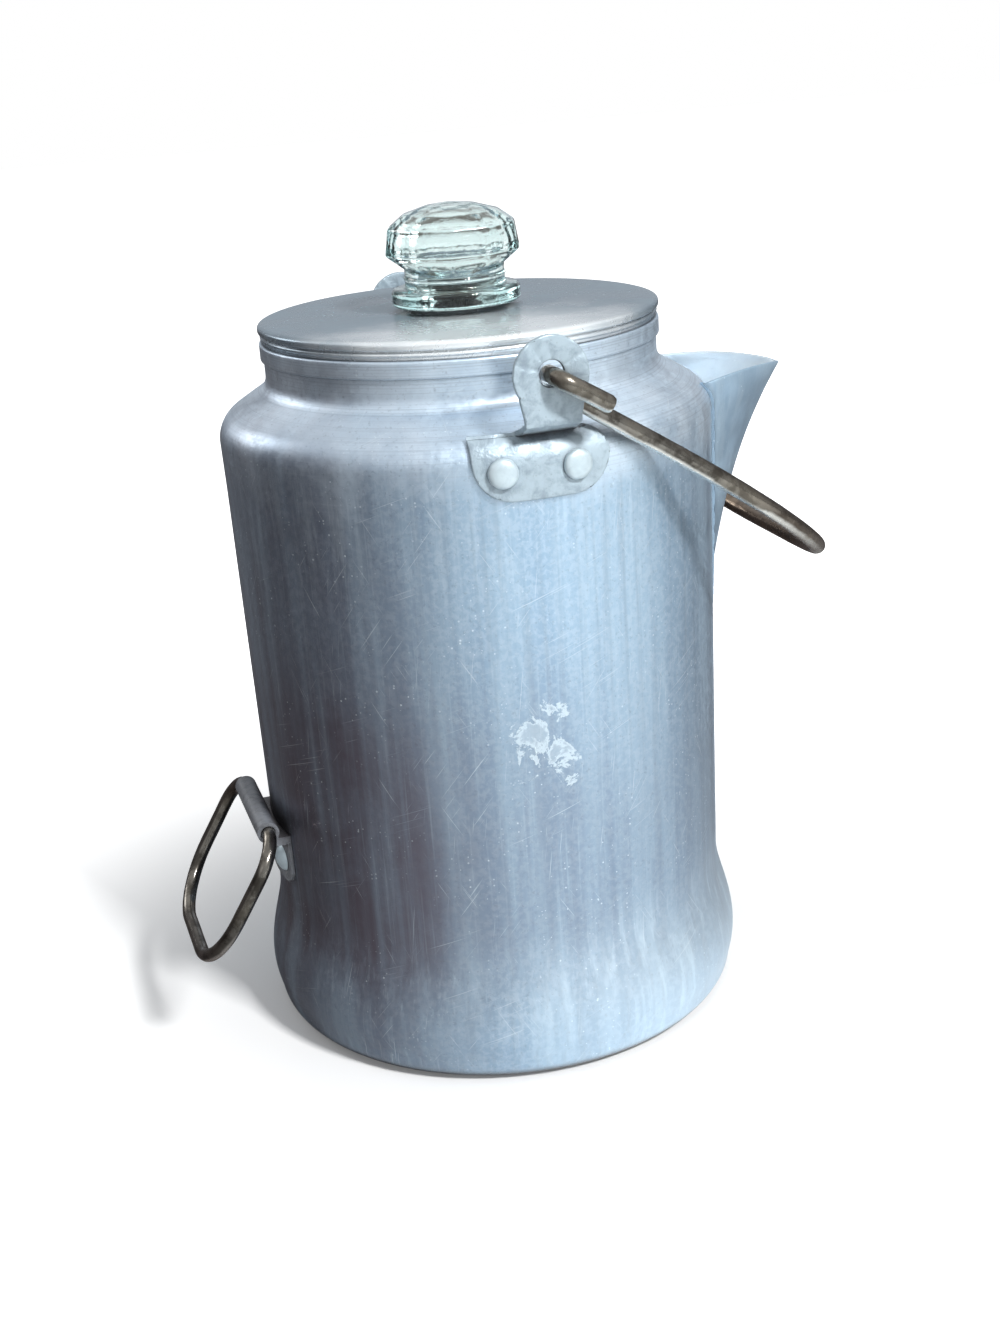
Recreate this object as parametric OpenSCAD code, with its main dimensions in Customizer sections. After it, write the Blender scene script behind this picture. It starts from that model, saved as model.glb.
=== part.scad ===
// Stovetop percolator coffee pot: spun aluminium body with an open beak spout,
// swinging bail, tilting loop at the back, lid with glass knob, pump and basket.
// Origin: centre of the flat base. +Z up, spout towards +X, ears at -Y and +Y.

/* [Body] */
// Radius of the wall just under the shoulder
wall_top_r = 88.3; // [84:0.1:94]
// How much wider the flared skirt is than the wall's top
skirt_flare = 2.9; // [2:0.1:5]
// How far the edge of the flat base lies inside the skirt
base_inset = 10.6; // [9:0.1:13]
// Radius of the rounding between base and skirt
base_corner_r = 8.7; // [6:0.1:10]
// Height of the skirt's largest radius
skirt_z = 19.4; // [16:0.1:24]
// How much narrower the waist above the skirt is than the wall's top
waist_taper = 2.8; // [1:0.1:4]
// Height of the waist
waist_z = 52; // [44:1:60]
// Height where the wall turns into the shoulder
shoulder_z = 222.5; // [215:0.5:230]
// Radius of the rounded edge of the shoulder
shoulder_edge_r = 11.5; // [8:0.5:14]
// How far the shoulder's edge turns before the slope begins, in degrees
shoulder_turn = 58; // [50:1:64]
// How much narrower the neck is than the wall's top
neck_inset = 18.5; // [16:0.1:22]
// Radius of the hollow between shoulder and neck
neck_fillet_r = 6.5; // [4:0.5:9]
// Thickness of the body's sheet
wall = 1.2; // [0.8:0.1:1.8]
// Height of the rolled rim band round the mouth
rim_h = 5.9; // [4:0.1:8]
// How far the rim band stands out from the neck
rim_out = 1.1; // [0.6:0.1:1.6]
// Length of plain neck between the fillet and the rim band
neck_h = 5.8; // [4:0.1:9]

/* [Spout] */
// Distance of the spout's tip from the axis
spout_tip_x = 123.7; // [114:0.5:130]
// Height of the tip over the shoulder's start
spout_tip_rise = 5.5; // [0:0.5:9]
// Height of the spout from its foot on the wall to its tip
spout_h = 82; // [60:1:96]
// Thickness of the spout's sheet
spout_t = 1.05; // [0.8:0.05:1.5]
// Half angle of the spout's root at its lower end, in degrees
spout_foot_angle = 11; // [8:0.5:16]
// Half angle of the spout's root at its brim, in degrees
spout_brim_angle = 21.5; // [18:0.5:26]
// Width of the flange that laps onto the wall, in degrees
flange_angle = 3.5; // [2:0.5:6]
// Height of the flange's tongue under the spout
flange_tongue = 6; // [3:0.5:12]
// How far the brim arches up between wall and tip
brim_arch = 2.1; // [0:0.1:4]
// How much higher the brim meets the wall than it ends at the tip
brim_rise = 1.5; // [0:0.1:3]
// Diameter of the strainer holes behind the spout
strainer_d = 4.2; // [3:0.1:6]

/* [Ears] */
// Thickness of the ears' sheet
ear_t = 1.8; // [1.2:0.1:2.5]
// Half width of the plate that lies on the wall
ear_plate_w = 23; // [21:0.5:26]
// How far the plate reaches below the shoulder's start
ear_plate_low = 10.3; // [8:0.1:14]
// How far the plate follows the rounded shoulder, in degrees
ear_plate_turn = 48; // [44:1:50]
// Radius of the plate's lower corners
ear_corner_r = 13; // [8:0.5:16]
// Radius of the plate's upper corner on the spout's side
ear_front_corner_r = 9; // [4:0.5:12]
// Radius of the ear's round head
ear_head_r = 12.5; // [10:0.1:15]
// Half width of the neck at its foot
ear_neck_w = 9.3; // [8:0.1:10.5]
// Height of the neck's foot over the shoulder's start
ear_neck_rise = 14; // [13:0.1:16]
// How far the head stands out from the plate
ear_joggle = 4; // [3:0.1:5]
// How far the head sits from the plate's middle towards the spout
ear_offset = 2.6; // [0:0.1:4]
// Height of the bail's hole over the shoulder's start
bail_rise = 29.5; // [27:0.5:33]
// Place of the ear rivet at the back, as an angle round the pot
ear_rivet_back = 8.8; // [7.5:0.1:10]
// Place of the ear rivet at the front, as an angle round the pot
ear_rivet_front = 7; // [6:0.1:10]
// How far the ear rivets lie below the shoulder's start
ear_rivet_drop = 0.5; // [0:0.1:3]

/* [Rivets] */
// Radius of a rivet's shank
rivet_r = 2; // [1.5:0.1:2.5]
// Radius of a rivet's domed head
rivet_head_r = 5; // [4:0.1:5.5]
// Height of a rivet's domed head
rivet_head_h = 2.6; // [1.5:0.1:3.5]
// Radius of the button inside the pot
rivet_button_r = 3.8; // [3:0.1:4.5]

/* [Bail] */
// Diameter of the bail's wire
bail_d = 5.9; // [4:0.1:6.4]
// Distance from the hole to the middle of the grip
bail_l = 147.5; // [140:0.5:165]
// Bending radius of the bail's outer corners
bail_corner_r = 70; // [30:1:75]
// Angle of the folded bail below the horizontal, in degrees
bail_rest = 37; // [35:0.5:40]
// Bending radius of the hooks at the ears
hook_bend_r = 5.5; // [4.5:0.1:6.5]
// Length of the hook's tail outside the ear, from the hole
hook_tail = 22; // [14:1:30]
// Clearance of the wire in its hole, on the radius
hook_play = 1.3; // [0.7:0.1:2]
// Height of the hole's middle over the wire, which hangs low in it
hook_drop = 0.5; // [0:0.1:0.6]

/* [Tilt handle] */
// Diameter of the loop's wire
loop_d = 5; // [4:0.1:6]
// Height of the hinge barrel
barrel_z = 85.6; // [80:0.2:100]
// Half length of the hinge barrel
barrel_w = 24; // [18:0.5:30]
// Thickness of the bracket's sheet
bracket_t = 1.3; // [1:0.1:1.8]
// Gap between the wall and the barrel at its middle
barrel_gap = 2; // [1:0.1:4]
// Length of the loop from the barrel to its grip
loop_l = 54; // [45:1:70]
// Bending radius of the loop's outer corners
loop_corner_r = 24; // [8:0.5:30]
// Bending radius where the loop leaves the barrel
loop_bend_r = 13; // [4:0.5:16]
// Angle of the resting loop below the horizontal, in degrees
loop_rest = 58; // [45:1:70]
// Half width of the bracket's plate
bracket_w = 20; // [18:0.5:23]
// Height of the bracket's lower edge
bracket_z0 = 61; // [58:0.5:66]
// Height of the bracket rivets
bracket_rivet_z = 70; // [68:0.5:73]
// Distance of each bracket rivet from its middle, as an angle round the pot
bracket_rivet_angle = 8.6; // [6:0.1:9.4]

/* [Lid] */
// Largest radius of the lid
lid_r = 71; // [69:0.2:73]
// Thickness of the lid's sheet
lid_t = 1.1; // [0.8:0.1:1.4]
// Height of the lid's flat top over the rim of the pot
lid_h = 6.4; // [6:0.1:8]
// Depth of the skirt that plugs into the neck
lid_skirt = 9.8; // [6:0.2:12]
// Gap between the skirt and the neck
lid_fit = 0.4; // [0.3:0.05:0.8]
// Radius of the raised seat under the knob
knob_seat_r = 17.5; // [16.9:0.1:20]
// Height of the raised seat
knob_seat_h = 1.7; // [1.2:0.1:2.5]

/* [Knob] */
// Radius of the glass flange that sits on the lid
knob_flange_r = 22.8; // [20:0.1:26]
// Thickness of the glass flange
knob_flange_h = 6; // [4:0.5:8]
// Radius of the waist over the flange
knob_waist_r = 17.5; // [16:0.1:19.5]
// Height of the waist
knob_waist_h = 7; // [4:0.5:10]
// Radius of the knob over its corners
knob_r = 24.6; // [22:0.1:27]
// Radius of the knob over its upper corners
knob_crown_r = 23.2; // [20:0.1:24]
// Radius of the shallow dome on top
knob_dome_r = 17.5; // [12:0.1:19]
// Height of the whole knob over its seat
knob_h = 34.6; // [30:0.1:40]
// Number of facets round the knob
knob_facets = 10; // [8:1:12]
// Radius of the glass neck that passes through the lid
knob_neck_r = 13.2; // [12:0.1:13.6]
// Radius of the bore in the glass neck
knob_bore_r = 9.5; // [8:0.1:10.5]
// Length of the glass neck under the flange
knob_neck_h = 8; // [6:0.5:9]

/* [Pump and basket] */
// Outside radius of the pump's tube
tube_r = 5; // [4:0.1:6]
// Thickness of the tube and of the sheet inside the pot
inner_t = 0.8; // [0.6:0.1:1.2]
// Height of the tube's open top
tube_top_z = 250; // [244:0.5:252]
// Radius of the pump's foot at the floor
foot_r = 32; // [24:0.5:44]
// Height of the foot
foot_h = 16; // [12:0.5:24]
// Number of inlets round the foot
foot_inlets = 4; // [3:1:6]
// Height of the stop that carries the basket
stop_z = 166; // [150:1:174]
// Height of the stop
stop_h = 5; // [3:0.5:8]
// Outside radius of the basket
basket_r = 54; // [40:0.5:58]
// Height of the basket
basket_h = 68; // [50:1:72]
// Clearance of the sleeves on the tube, on the radius
sleeve_play = 0.4; // [0.2:0.1:0.8]
// Diameter of the holes in basket and spreader
perforation_d = 2.6; // [2:0.1:3.2]
// Distance between those holes
perforation_pitch = 7.4; // [6.4:0.2:10]
// Radius of the innermost ring of holes
perforation_r0 = 13; // [12:0.5:16]
// Radius of the basket's lower corner
basket_corner_r = 5; // [3:0.5:8]

/* [Hidden] */

$fn = 96;
seat_gap = 0.05;
wire_fn = 32;
cut = 30;

// Radii that hang on the wall's top
skirt_r = wall_top_r + skirt_flare;
base_r = skirt_r - base_inset;
waist_r = wall_top_r - waist_taper;
neck_r = wall_top_r - neck_inset;

// The slope of the shoulder, from the end of its rounded edge to the neck's hollow
edge_x = wall_top_r - shoulder_edge_r;
slope_start = [edge_x + shoulder_edge_r * cos(shoulder_turn),
               shoulder_z + shoulder_edge_r * sin(shoulder_turn)];
fillet_x = neck_r + neck_fillet_r;
fillet_turn = 180 + shoulder_turn;
slope_run = (slope_start[0] - fillet_x - neck_fillet_r * cos(fillet_turn)) / sin(shoulder_turn);
fillet_z = slope_start[1] + slope_run * cos(shoulder_turn) - neck_fillet_r * sin(fillet_turn);
neck_in_r = neck_r - wall;
rim_z0 = fillet_z + neck_h;
rim_z = rim_z0 + rim_h;
rim_r = neck_r + rim_out;

// Spout
spout_tip_z = shoulder_z + spout_tip_rise;
spout_foot_z = spout_tip_z - spout_h;

// Ears: the plate's heights, and the middle of the head's sheet
ear_plate_z0 = shoulder_z - ear_plate_low;
ear_plate_z1 = shoulder_z + shoulder_edge_r * sin(ear_plate_turn) + 1;
ear_neck_z = shoulder_z + ear_neck_rise;
ear_rivet_z = shoulder_z - ear_rivet_drop;
bail_z = shoulder_z + bail_rise;
ear_plate_r = wall_top_r + seat_gap;
ear_mid = ear_plate_r + ear_t / 2 + ear_joggle;
hook_gap = 0.3;
bail_r = bail_d / 2;
leg_y = ear_mid - ear_t / 2 - hook_gap - hook_bend_r;
tail_y = ear_mid + ear_t / 2 + hook_gap + hook_bend_r;

// Tilt handle
loop_r = loop_d / 2;
barrel_play = 0.2;
barrel_r = loop_r + barrel_play + bracket_t;
barrel_x = wall_r(barrel_z) + barrel_gap + barrel_r;
loop_w = barrel_w + hook_gap + loop_bend_r;

// Lid and knob
lid_top = rim_z + lid_h;
skirt_out_r = neck_in_r - lid_fit;
knob_hole_r = knob_neck_r + lid_fit;
seat_top = lid_top + knob_seat_h;
lug_h = 1.8;
lug_out = 2.2;
lug_angle = 32;
lug_gap = 0.3;

// Pump and basket
floor_gap = 0.1;
foot_z = wall + floor_gap;
tube_bore_r = tube_r - inner_t;
sleeve_bore_r = tube_r + sleeve_play;
basket_z = stop_z + stop_h;
basket_top = basket_z + basket_h;
stop_r = sleeve_bore_r + 3;

function arc(cx, cz, r, a0, a1, n) =
    [for (i = [0:n]) let (a = a0 + (a1 - a0) * i / n) [cx + r * cos(a), cz + r * sin(a)]];

// Outside radius of the body below the slope of the shoulder
function wall_r(z) =
    z < base_corner_r ? base_r + base_corner_r :
    z < skirt_z ? lower_skirt_r(z) :
    z < waist_z ? upper_skirt_r(z) :
    z < shoulder_z ? waist_r + (wall_top_r - waist_r) * (z - waist_z) / (shoulder_z - waist_z) :
    edge_x + sqrt(pow(shoulder_edge_r, 2) - pow(z - shoulder_z, 2));
// Inside radius of the body's wall up to the end of the shoulder's edge
function wall_in_r(z) =
    z < shoulder_z ? wall_r(z) - wall :
    edge_x + sqrt(pow(shoulder_edge_r - wall, 2) - pow(z - shoulder_z, 2));
function lower_skirt_r(z) =
    let (low = base_r + base_corner_r)
    low + (skirt_r - low) * sin(90 * (z - base_corner_r) / (skirt_z - base_corner_r));
function upper_skirt_r(z) =
    waist_r + (skirt_r - waist_r) * (1 + cos(180 * (z - skirt_z) / (waist_z - skirt_z))) / 2;

// The body's outline from the base to the plain neck, moved inwards by o
function body_line(o) = concat(
    arc(base_r, base_corner_r, base_corner_r - o, -90, 0, 6),
    [for (i = [1:3]) let (z = base_corner_r + (skirt_z - base_corner_r) * i / 3) [wall_r(z) - o, z]],
    [for (i = [1:8]) let (z = skirt_z + (waist_z - skirt_z) * i / 8) [upper_skirt_r(z) - o, z]],
    arc(edge_x, shoulder_z, shoulder_edge_r - o, 0, shoulder_turn, 8),
    arc(fillet_x, fillet_z, neck_fillet_r + o, fillet_turn, 180, 6));

function reversed(list) = [for (i = [len(list) - 1:-1:0]) list[i]];

module radial(angle, z) {
    rotate([0, 0, angle])
        translate([0, 0, z])
            rotate([0, 90, 0])
                children();
}

// Cylinder that cuts a rivet's hole along the radius
module rivet_hole(angle, z) {
    radial(angle, z)
        translate([0, 0, wall_r(z) - cut / 2])
            cylinder(r = rivet_r + seat_gap, h = cut, $fn = 24);
}

module bracket_angles() {
    for (side = [-1, 1])
        rotate([0, 0, 180 + side * bracket_rivet_angle])
            children();
}

module body_shell() {
    band = [[neck_r, rim_z0], [rim_r - 0.3, rim_z0], [rim_r, rim_z0 + 0.4], [rim_r, rim_z - 0.9],
            [rim_r - 0.4, rim_z - 0.2], [rim_r - 1, rim_z], [neck_in_r, rim_z]];
    color("lightsteelblue")
        difference() {
            rotate_extrude($fn = 180)
                polygon(concat([[0, 0]], body_line(0), band, reversed(body_line(wall)), [[0, wall]]));
            for (side = [-1, 1], turn = [-ear_rivet_back, ear_rivet_front])
                rivet_hole(side * (90 - turn), ear_rivet_z);
            for (turn = [-bracket_rivet_angle, bracket_rivet_angle])
                rivet_hole(180 + turn, bracket_rivet_z);
            strainer_holes();
        }
}

// Staggered rows of holes that let the coffee into the spout and hold back grounds
module strainer_holes() {
    pitch = 8.4;
    rows = 6;
    top_row = spout_tip_z - 18;
    for (row = [0:rows - 1])
        for (k = [0:2 + (row + 1) % 2]) {
            count = 3 + (row + 1) % 2;
            step = pitch / wall_top_r * 180 / PI;
            radial((k - (count - 1) / 2) * step, top_row - row * pitch * sin(60))
                translate([0, 0, wall_top_r - cut / 2])
                    cylinder(d = strainer_d, h = cut, $fn = 20);
        }
}

// Spout: one bent sheet. Across it, s runs from 0 at the nose to 1 where it meets the wall.
spout_rows = [0, 0.03, 0.1, 0.2, 0.32, 0.45, 0.58, 0.7, 0.8, 0.87, 0.92, 0.95, 0.975, 1];
spout_steps = [1, 0.86, 0.72, 0.58, 0.44, 0.31, 0.2, 0.1, 0];
nose_round = 0.12;
// Inner face of the sheet where it lies on the wall, a little freer on the rounded shoulder
function spout_seat_r(z) = wall_r(z) + seat_gap + (z > shoulder_z - 2 ? 2 * seat_gap : 0);
function nose_x(v) =
    let (root = spout_seat_r(spout_foot_z) + spout_t, reach = spout_tip_x - root)
    root + reach * (0.476 * sqrt(v) + 0.524 * pow(v, 2.6));
function brim_z(s) = spout_tip_z + brim_rise * s + brim_arch * sin(180 * s);
function spout_z(v, s) = spout_foot_z + v * (brim_z(s) - spout_foot_z);
function nose_shape(s) =
    1 - (sqrt(s * s + nose_round * nose_round) - nose_round) /
        (sqrt(1 + nose_round * nose_round) - nose_round);
function spout_angle(v) = spout_foot_angle + (spout_brim_angle - spout_foot_angle) * v;
function polar(r, a, z) = [r * cos(a), r * sin(a), z];
// depth is 0 on the outer face and 1 on the inner face of the sheet
function spout_point(v, s, side, depth) =
    let (z = spout_z(v, s),
         root = spout_seat_r(z) + spout_t * (1 - depth),
         thick = spout_t * (1 + 0.4 * min(1, 3 * v)),
         nose = max(nose_x(v) - depth * thick, root),
         a = spout_angle(v) - depth * 0.75)
    polar(root + (nose - root) * nose_shape(s), side * a * s, z);
function flange_point(v, side, depth, share) =
    let (z = spout_z(v, 1))
    polar(spout_seat_r(z) + spout_t * (1 - depth), side * (spout_angle(v) + flange_angle * share), z);
function spout_row(v, depth) = concat(
    [for (share = [1, 0.5]) flange_point(v, -1, depth, share)],
    [for (s = spout_steps) spout_point(v, s, -1, depth)],
    [for (i = [len(spout_steps) - 2:-1:0]) spout_point(v, spout_steps[i], 1, depth)],
    [for (share = [0.5, 1]) flange_point(v, 1, depth, share)]);
// The tongue's end, rounded off below the foot of the spout
function tongue_row(share, depth) =
    let (z = spout_foot_z - flange_tongue * share,
         half = (spout_foot_angle + flange_angle) * sqrt(1 - 0.6 * share * share),
         n = 2 * len(spout_steps) + 2)
    [for (i = [0:n]) polar(spout_seat_r(z) + spout_t * (1 - depth), half * (2 * i / n - 1), z)];

function sheet_rows(depth) = concat([for (share = [1, 0.8, 0.5]) tongue_row(share, depth)],
                                    [for (v = spout_rows) spout_row(v, depth)]);

module spout() {
    outer = sheet_rows(0);
    inner = sheet_rows(1);
    n = len(outer[0]);
    m = len(outer);
    points = concat([for (row = outer) each row], [for (row = inner) each row]);
    half = n * m;
    faces = concat(
        [for (j = [0:m - 2], i = [0:n - 2]) [j * n + i, (j + 1) * n + i, (j + 1) * n + i + 1]],
        [for (j = [0:m - 2], i = [0:n - 2]) [j * n + i, (j + 1) * n + i + 1, j * n + i + 1]],
        [for (j = [0:m - 2], i = [0:n - 2])
            [half + j * n + i, half + (j + 1) * n + i + 1, half + (j + 1) * n + i]],
        [for (j = [0:m - 2], i = [0:n - 2])
            [half + j * n + i, half + j * n + i + 1, half + (j + 1) * n + i + 1]],
        [for (i = [0:n - 2], e = [0, 1]) e == 0 ? [i, i + 1, half + i + 1] : [i, half + i + 1, half + i]],
        [for (i = [0:n - 2], e = [0, 1]) let (t = (m - 1) * n + i)
            e == 0 ? [t, half + t + 1, t + 1] : [t, half + t, half + t + 1]],
        [for (j = [0:m - 2], e = [0, 1]) let (a = j * n, b = (j + 1) * n)
            e == 0 ? [a, half + b, b] : [a, half + a, half + b]],
        [for (j = [0:m - 2], e = [0, 1]) let (a = j * n + n - 1, b = (j + 1) * n + n - 1)
            e == 0 ? [a, b, half + b] : [a, half + b, half + a]]);
    color("lightsteelblue")
        polyhedron(points = points, faces = faces);
}

// Ear at +X with the spout's side at +Y. The plate follows the wall and the rounded shoulder,
// and from its upper edge the neck steps out to the head that carries the bail.
module ear_blank() {
    lean = (wall_top_r - waist_r) / (shoulder_z - waist_z);
    low_r = ear_plate_r - lean * ear_plate_low;
    inner_r = shoulder_edge_r + seat_gap;
    outer_r = inner_r + ear_t;
    end = [cos(ear_plate_turn), sin(ear_plate_turn)];
    end_in = [edge_x + inner_r * end[0], shoulder_z + inner_r * end[1]];
    end_out = [edge_x + outer_r * end[0], shoulder_z + outer_r * end[1]];
    head_in = ear_mid - ear_t / 2;
    head_out = ear_mid + ear_t / 2;
    lap = 0.3;
    low_z = ear_neck_z - 2 * lap;
    high_z = ear_neck_z + 1;
    intersection() {
        rotate([0, 0, -20])
            rotate_extrude(angle = 40, $fn = 180)
                polygon(concat([[low_r, ear_plate_z0]], arc(edge_x, shoulder_z, inner_r, 0, ear_plate_turn, 6),
                               reversed(arc(edge_x, shoulder_z, outer_r, 0, ear_plate_turn, 6)),
                               [[low_r + ear_t, ear_plate_z0]]));
        rotate([90, 0, 90])
            linear_extrude(2 * wall_top_r)
                ear_plate_outline();
    }
    // Joggle: the sheet steps out from the plate's upper edge to the head
    translate([0, ear_offset + ear_neck_w, 0])
        rotate([90, 0, 0])
            linear_extrude(2 * ear_neck_w)
                polygon([end_in + [lap, lap], [head_out, low_z], [head_out, high_z + lap],
                         [head_in, high_z + lap], [head_in, high_z], end_out + [-lap, 0]]);
    translate([head_in, 0, 0])
        rotate([90, 0, 90])
            linear_extrude(ear_t)
                ear_head_outline();
}

// The plate's outline from outside: square at the back, rounded at the spout's side
module ear_plate_outline() {
    w = ear_plate_w;
    r = ear_corner_r;
    f = ear_front_corner_r;
    translate([-w, ear_plate_z0 + r])
        square([2 * w - f, ear_plate_z1 + 2 - ear_plate_z0 - r]);
    translate([w - f - 1, ear_plate_z0 + r])
        square([f + 1, ear_plate_z1 - f - ear_plate_z0 - r]);
    translate([-w + r, ear_plate_z0])
        square([2 * (w - r), r + 1]);
    for (side = [-1, 1])
        translate([side * (w - r), ear_plate_z0 + r])
            circle(r = r, $fn = 64);
    translate([w - f, ear_plate_z1 - f])
        circle(r = f, $fn = 48);
}

// Head and neck: the neck's edges run on to the round head
module ear_head_outline() {
    reach = ear_head_r * 0.96;
    translate([ear_offset, bail_z])
        circle(r = ear_head_r, $fn = 64);
    translate([ear_offset, 0])
        polygon([[-ear_neck_w, ear_neck_z + 1], [ear_neck_w, ear_neck_z + 1],
                 [reach, bail_z - ear_head_r * 0.28], [-reach, bail_z - ear_head_r * 0.28]]);
}

// Turns a piece made at +X to its side of the pot: -1 is at -Y, 1 is its mirror image at +Y
module at_side(side) {
    mirror([0, side > 0 ? 1 : 0, 0])
        rotate([0, 0, -90])
            children();
}

module ear(side) {
    color("gainsboro")
        at_side(side)
            difference() {
                ear_blank();
                translate([ear_mid - cut / 2, ear_offset, bail_z + hook_drop])
                    rotate([0, 90, 0])
                        cylinder(r = bail_r + hook_play, h = cut, $fn = 48);
                for (turn = [-ear_rivet_back, ear_rivet_front])
                    rivet_hole(turn, ear_rivet_z);
            }
}

// One rivet along +X: its dome rests on a plate of thickness t on the wall at height z
module rivet(t, z) {
    head_x = wall_r(z) + seat_gap + t + 0.12;
    button_x = min(wall_in_r(z - rivet_button_r), wall_in_r(z + rivet_button_r)) - 0.2;
    dome_r = (rivet_head_r * rivet_head_r + rivet_head_h * rivet_head_h) / (2 * rivet_head_h);
    translate([0, 0, z])
        rotate([0, 90, 0]) {
            translate([0, 0, button_x - 1])
                cylinder(r = rivet_r, h = head_x - button_x + 1.5, $fn = 24);
            translate([0, 0, button_x - 1.2])
                cylinder(r = rivet_button_r, h = 1.2, $fn = 32);
            intersection() {
                translate([0, 0, head_x + rivet_head_h - dome_r])
                    sphere(r = dome_r, $fn = 48);
                translate([0, 0, head_x])
                    cylinder(r = rivet_head_r + 1, h = rivet_head_h + 1, $fn = 48);
            }
        }
}

module ear_rivets(side) {
    color("silver")
        at_side(side)
            for (turn = [-ear_rivet_back, ear_rivet_front])
                rotate([0, 0, turn])
                    rivet(ear_t, ear_rivet_z);
}

// Bracket: a sheet riveted to the wall whose top edge is rolled into the hinge barrel
module tilt_bracket() {
    z1 = barrel_z - barrel_r - 0.5;
    low_r = wall_r(bracket_z0) + seat_gap;
    high_r = wall_r(z1) + seat_gap;
    top_r = wall_r(barrel_z) + seat_gap;
    sheet_x = barrel_x - barrel_r;
    color("gainsboro")
        difference() {
            union() {
                intersection() {
                    rotate([0, 0, 160])
                        rotate_extrude(angle = 40, $fn = 180)
                            polygon([[low_r, bracket_z0], [low_r + bracket_t, bracket_z0],
                                     [high_r + bracket_t, z1], [high_r, z1]]);
                    rotate([90, 0, 90])
                        translate([0, 0, -2 * wall_top_r])
                            linear_extrude(2 * wall_top_r)
                                bracket_outline(z1);
                }
                // Where the sheet lifts off the round wall and runs straight to the barrel
                difference() {
                    translate([-sheet_x - bracket_t, -bracket_w, z1 - 3])
                        cube([sheet_x + bracket_t - waist_r * cos(16), 2 * bracket_w, 3]);
                    rotate_extrude($fn = 180)
                        polygon([[0, z1 - 4], [wall_r(z1 - 4) + seat_gap, z1 - 4], [high_r, z1],
                                 [top_r, barrel_z], [0, barrel_z]]);
                }
                translate([-sheet_x - bracket_t, -bracket_w, z1 - 3])
                    cube([bracket_t, 2 * bracket_w, barrel_z - z1 + 3]);
                translate([-barrel_x, 0, barrel_z])
                    rotate([90, 0, 0])
                        cylinder(r = barrel_r, h = 2 * barrel_w, center = true, $fn = 48);
            }
            translate([-barrel_x, 0, barrel_z])
                rotate([90, 0, 0])
                    cylinder(r = loop_r + barrel_play, h = 2 * barrel_w + 1, center = true, $fn = 48);
            for (turn = [-bracket_rivet_angle, bracket_rivet_angle])
                rivet_hole(180 + turn, bracket_rivet_z);
        }
}

module bracket_outline(z1) {
    w = bracket_w;
    r = 6;
    translate([-w, bracket_z0 + r])
        square([2 * w, z1 - bracket_z0 - r]);
    translate([-w + r, bracket_z0])
        square([2 * (w - r), r]);
    for (side = [-1, 1])
        translate([side * (w - r), bracket_z0 + r])
            circle(r = r, $fn = 48);
}

module tilt_bracket_rivets() {
    color("silver")
        bracket_angles()
            rivet(bracket_t, bracket_rivet_z);
}

// Wire pieces in the plane of a handle: X runs out from the hinge, Y along the hinge
module wire_x(x0, x1, y, d) {
    translate([x0, y, 0])
        rotate([0, 90, 0])
            cylinder(d = d, h = x1 - x0, $fn = wire_fn);
}

module wire_y(x, y0, y1, d) {
    translate([x, y0, 0])
        rotate([-90, 0, 0])
            cylinder(d = d, h = y1 - y0, $fn = wire_fn);
}

// Quarter bend about (x, y) that starts at the angle a
module wire_bend(x, y, r, a, d, fn) {
    translate([x, y, 0])
        rotate([0, 0, a])
            rotate_extrude(angle = 90, $fn = fn)
                translate([r, 0])
                    circle(d = d, $fn = wire_fn);
}

// One half of the bail, on the +Y side
module bail_half() {
    wire_y(bail_l, 0, leg_y - bail_corner_r, bail_d);
    wire_bend(bail_l - bail_corner_r, leg_y - bail_corner_r, bail_corner_r, 0, bail_d, 128);
    wire_x(hook_bend_r, bail_l - bail_corner_r, leg_y, bail_d);
    wire_bend(hook_bend_r, leg_y + hook_bend_r, hook_bend_r, 180, bail_d, 48);
    wire_y(0, leg_y + hook_bend_r, tail_y - hook_bend_r, bail_d);
    wire_bend(hook_bend_r, tail_y - hook_bend_r, hook_bend_r, 90, bail_d, 48);
    wire_x(hook_bend_r, hook_tail, tail_y, bail_d);
}

module bail_handle() {
    color("darkkhaki")
        translate([ear_offset, 0, bail_z])
            rotate([0, bail_rest, 0]) {
                bail_half();
                mirror([0, 1, 0])
                    bail_half();
            }
}

module loop_half() {
    wire_y(0, 0, loop_w - loop_bend_r, loop_d);
    wire_bend(loop_bend_r, loop_w - loop_bend_r, loop_bend_r, 90, loop_d, 48);
    wire_x(loop_bend_r, loop_l - loop_corner_r, loop_w, loop_d);
    wire_bend(loop_l - loop_corner_r, loop_w - loop_corner_r, loop_corner_r, 0, loop_d, 96);
    wire_y(loop_l, 0, loop_w - loop_corner_r, loop_d);
}

module tilt_handle() {
    color("darkkhaki")
        translate([-barrel_x, 0, barrel_z])
            rotate([0, 180 - loop_rest, 0])
                rotate([180, 0, 0]) {
                    loop_half();
                    mirror([0, 1, 0])
                        loop_half();
                }
}

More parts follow.
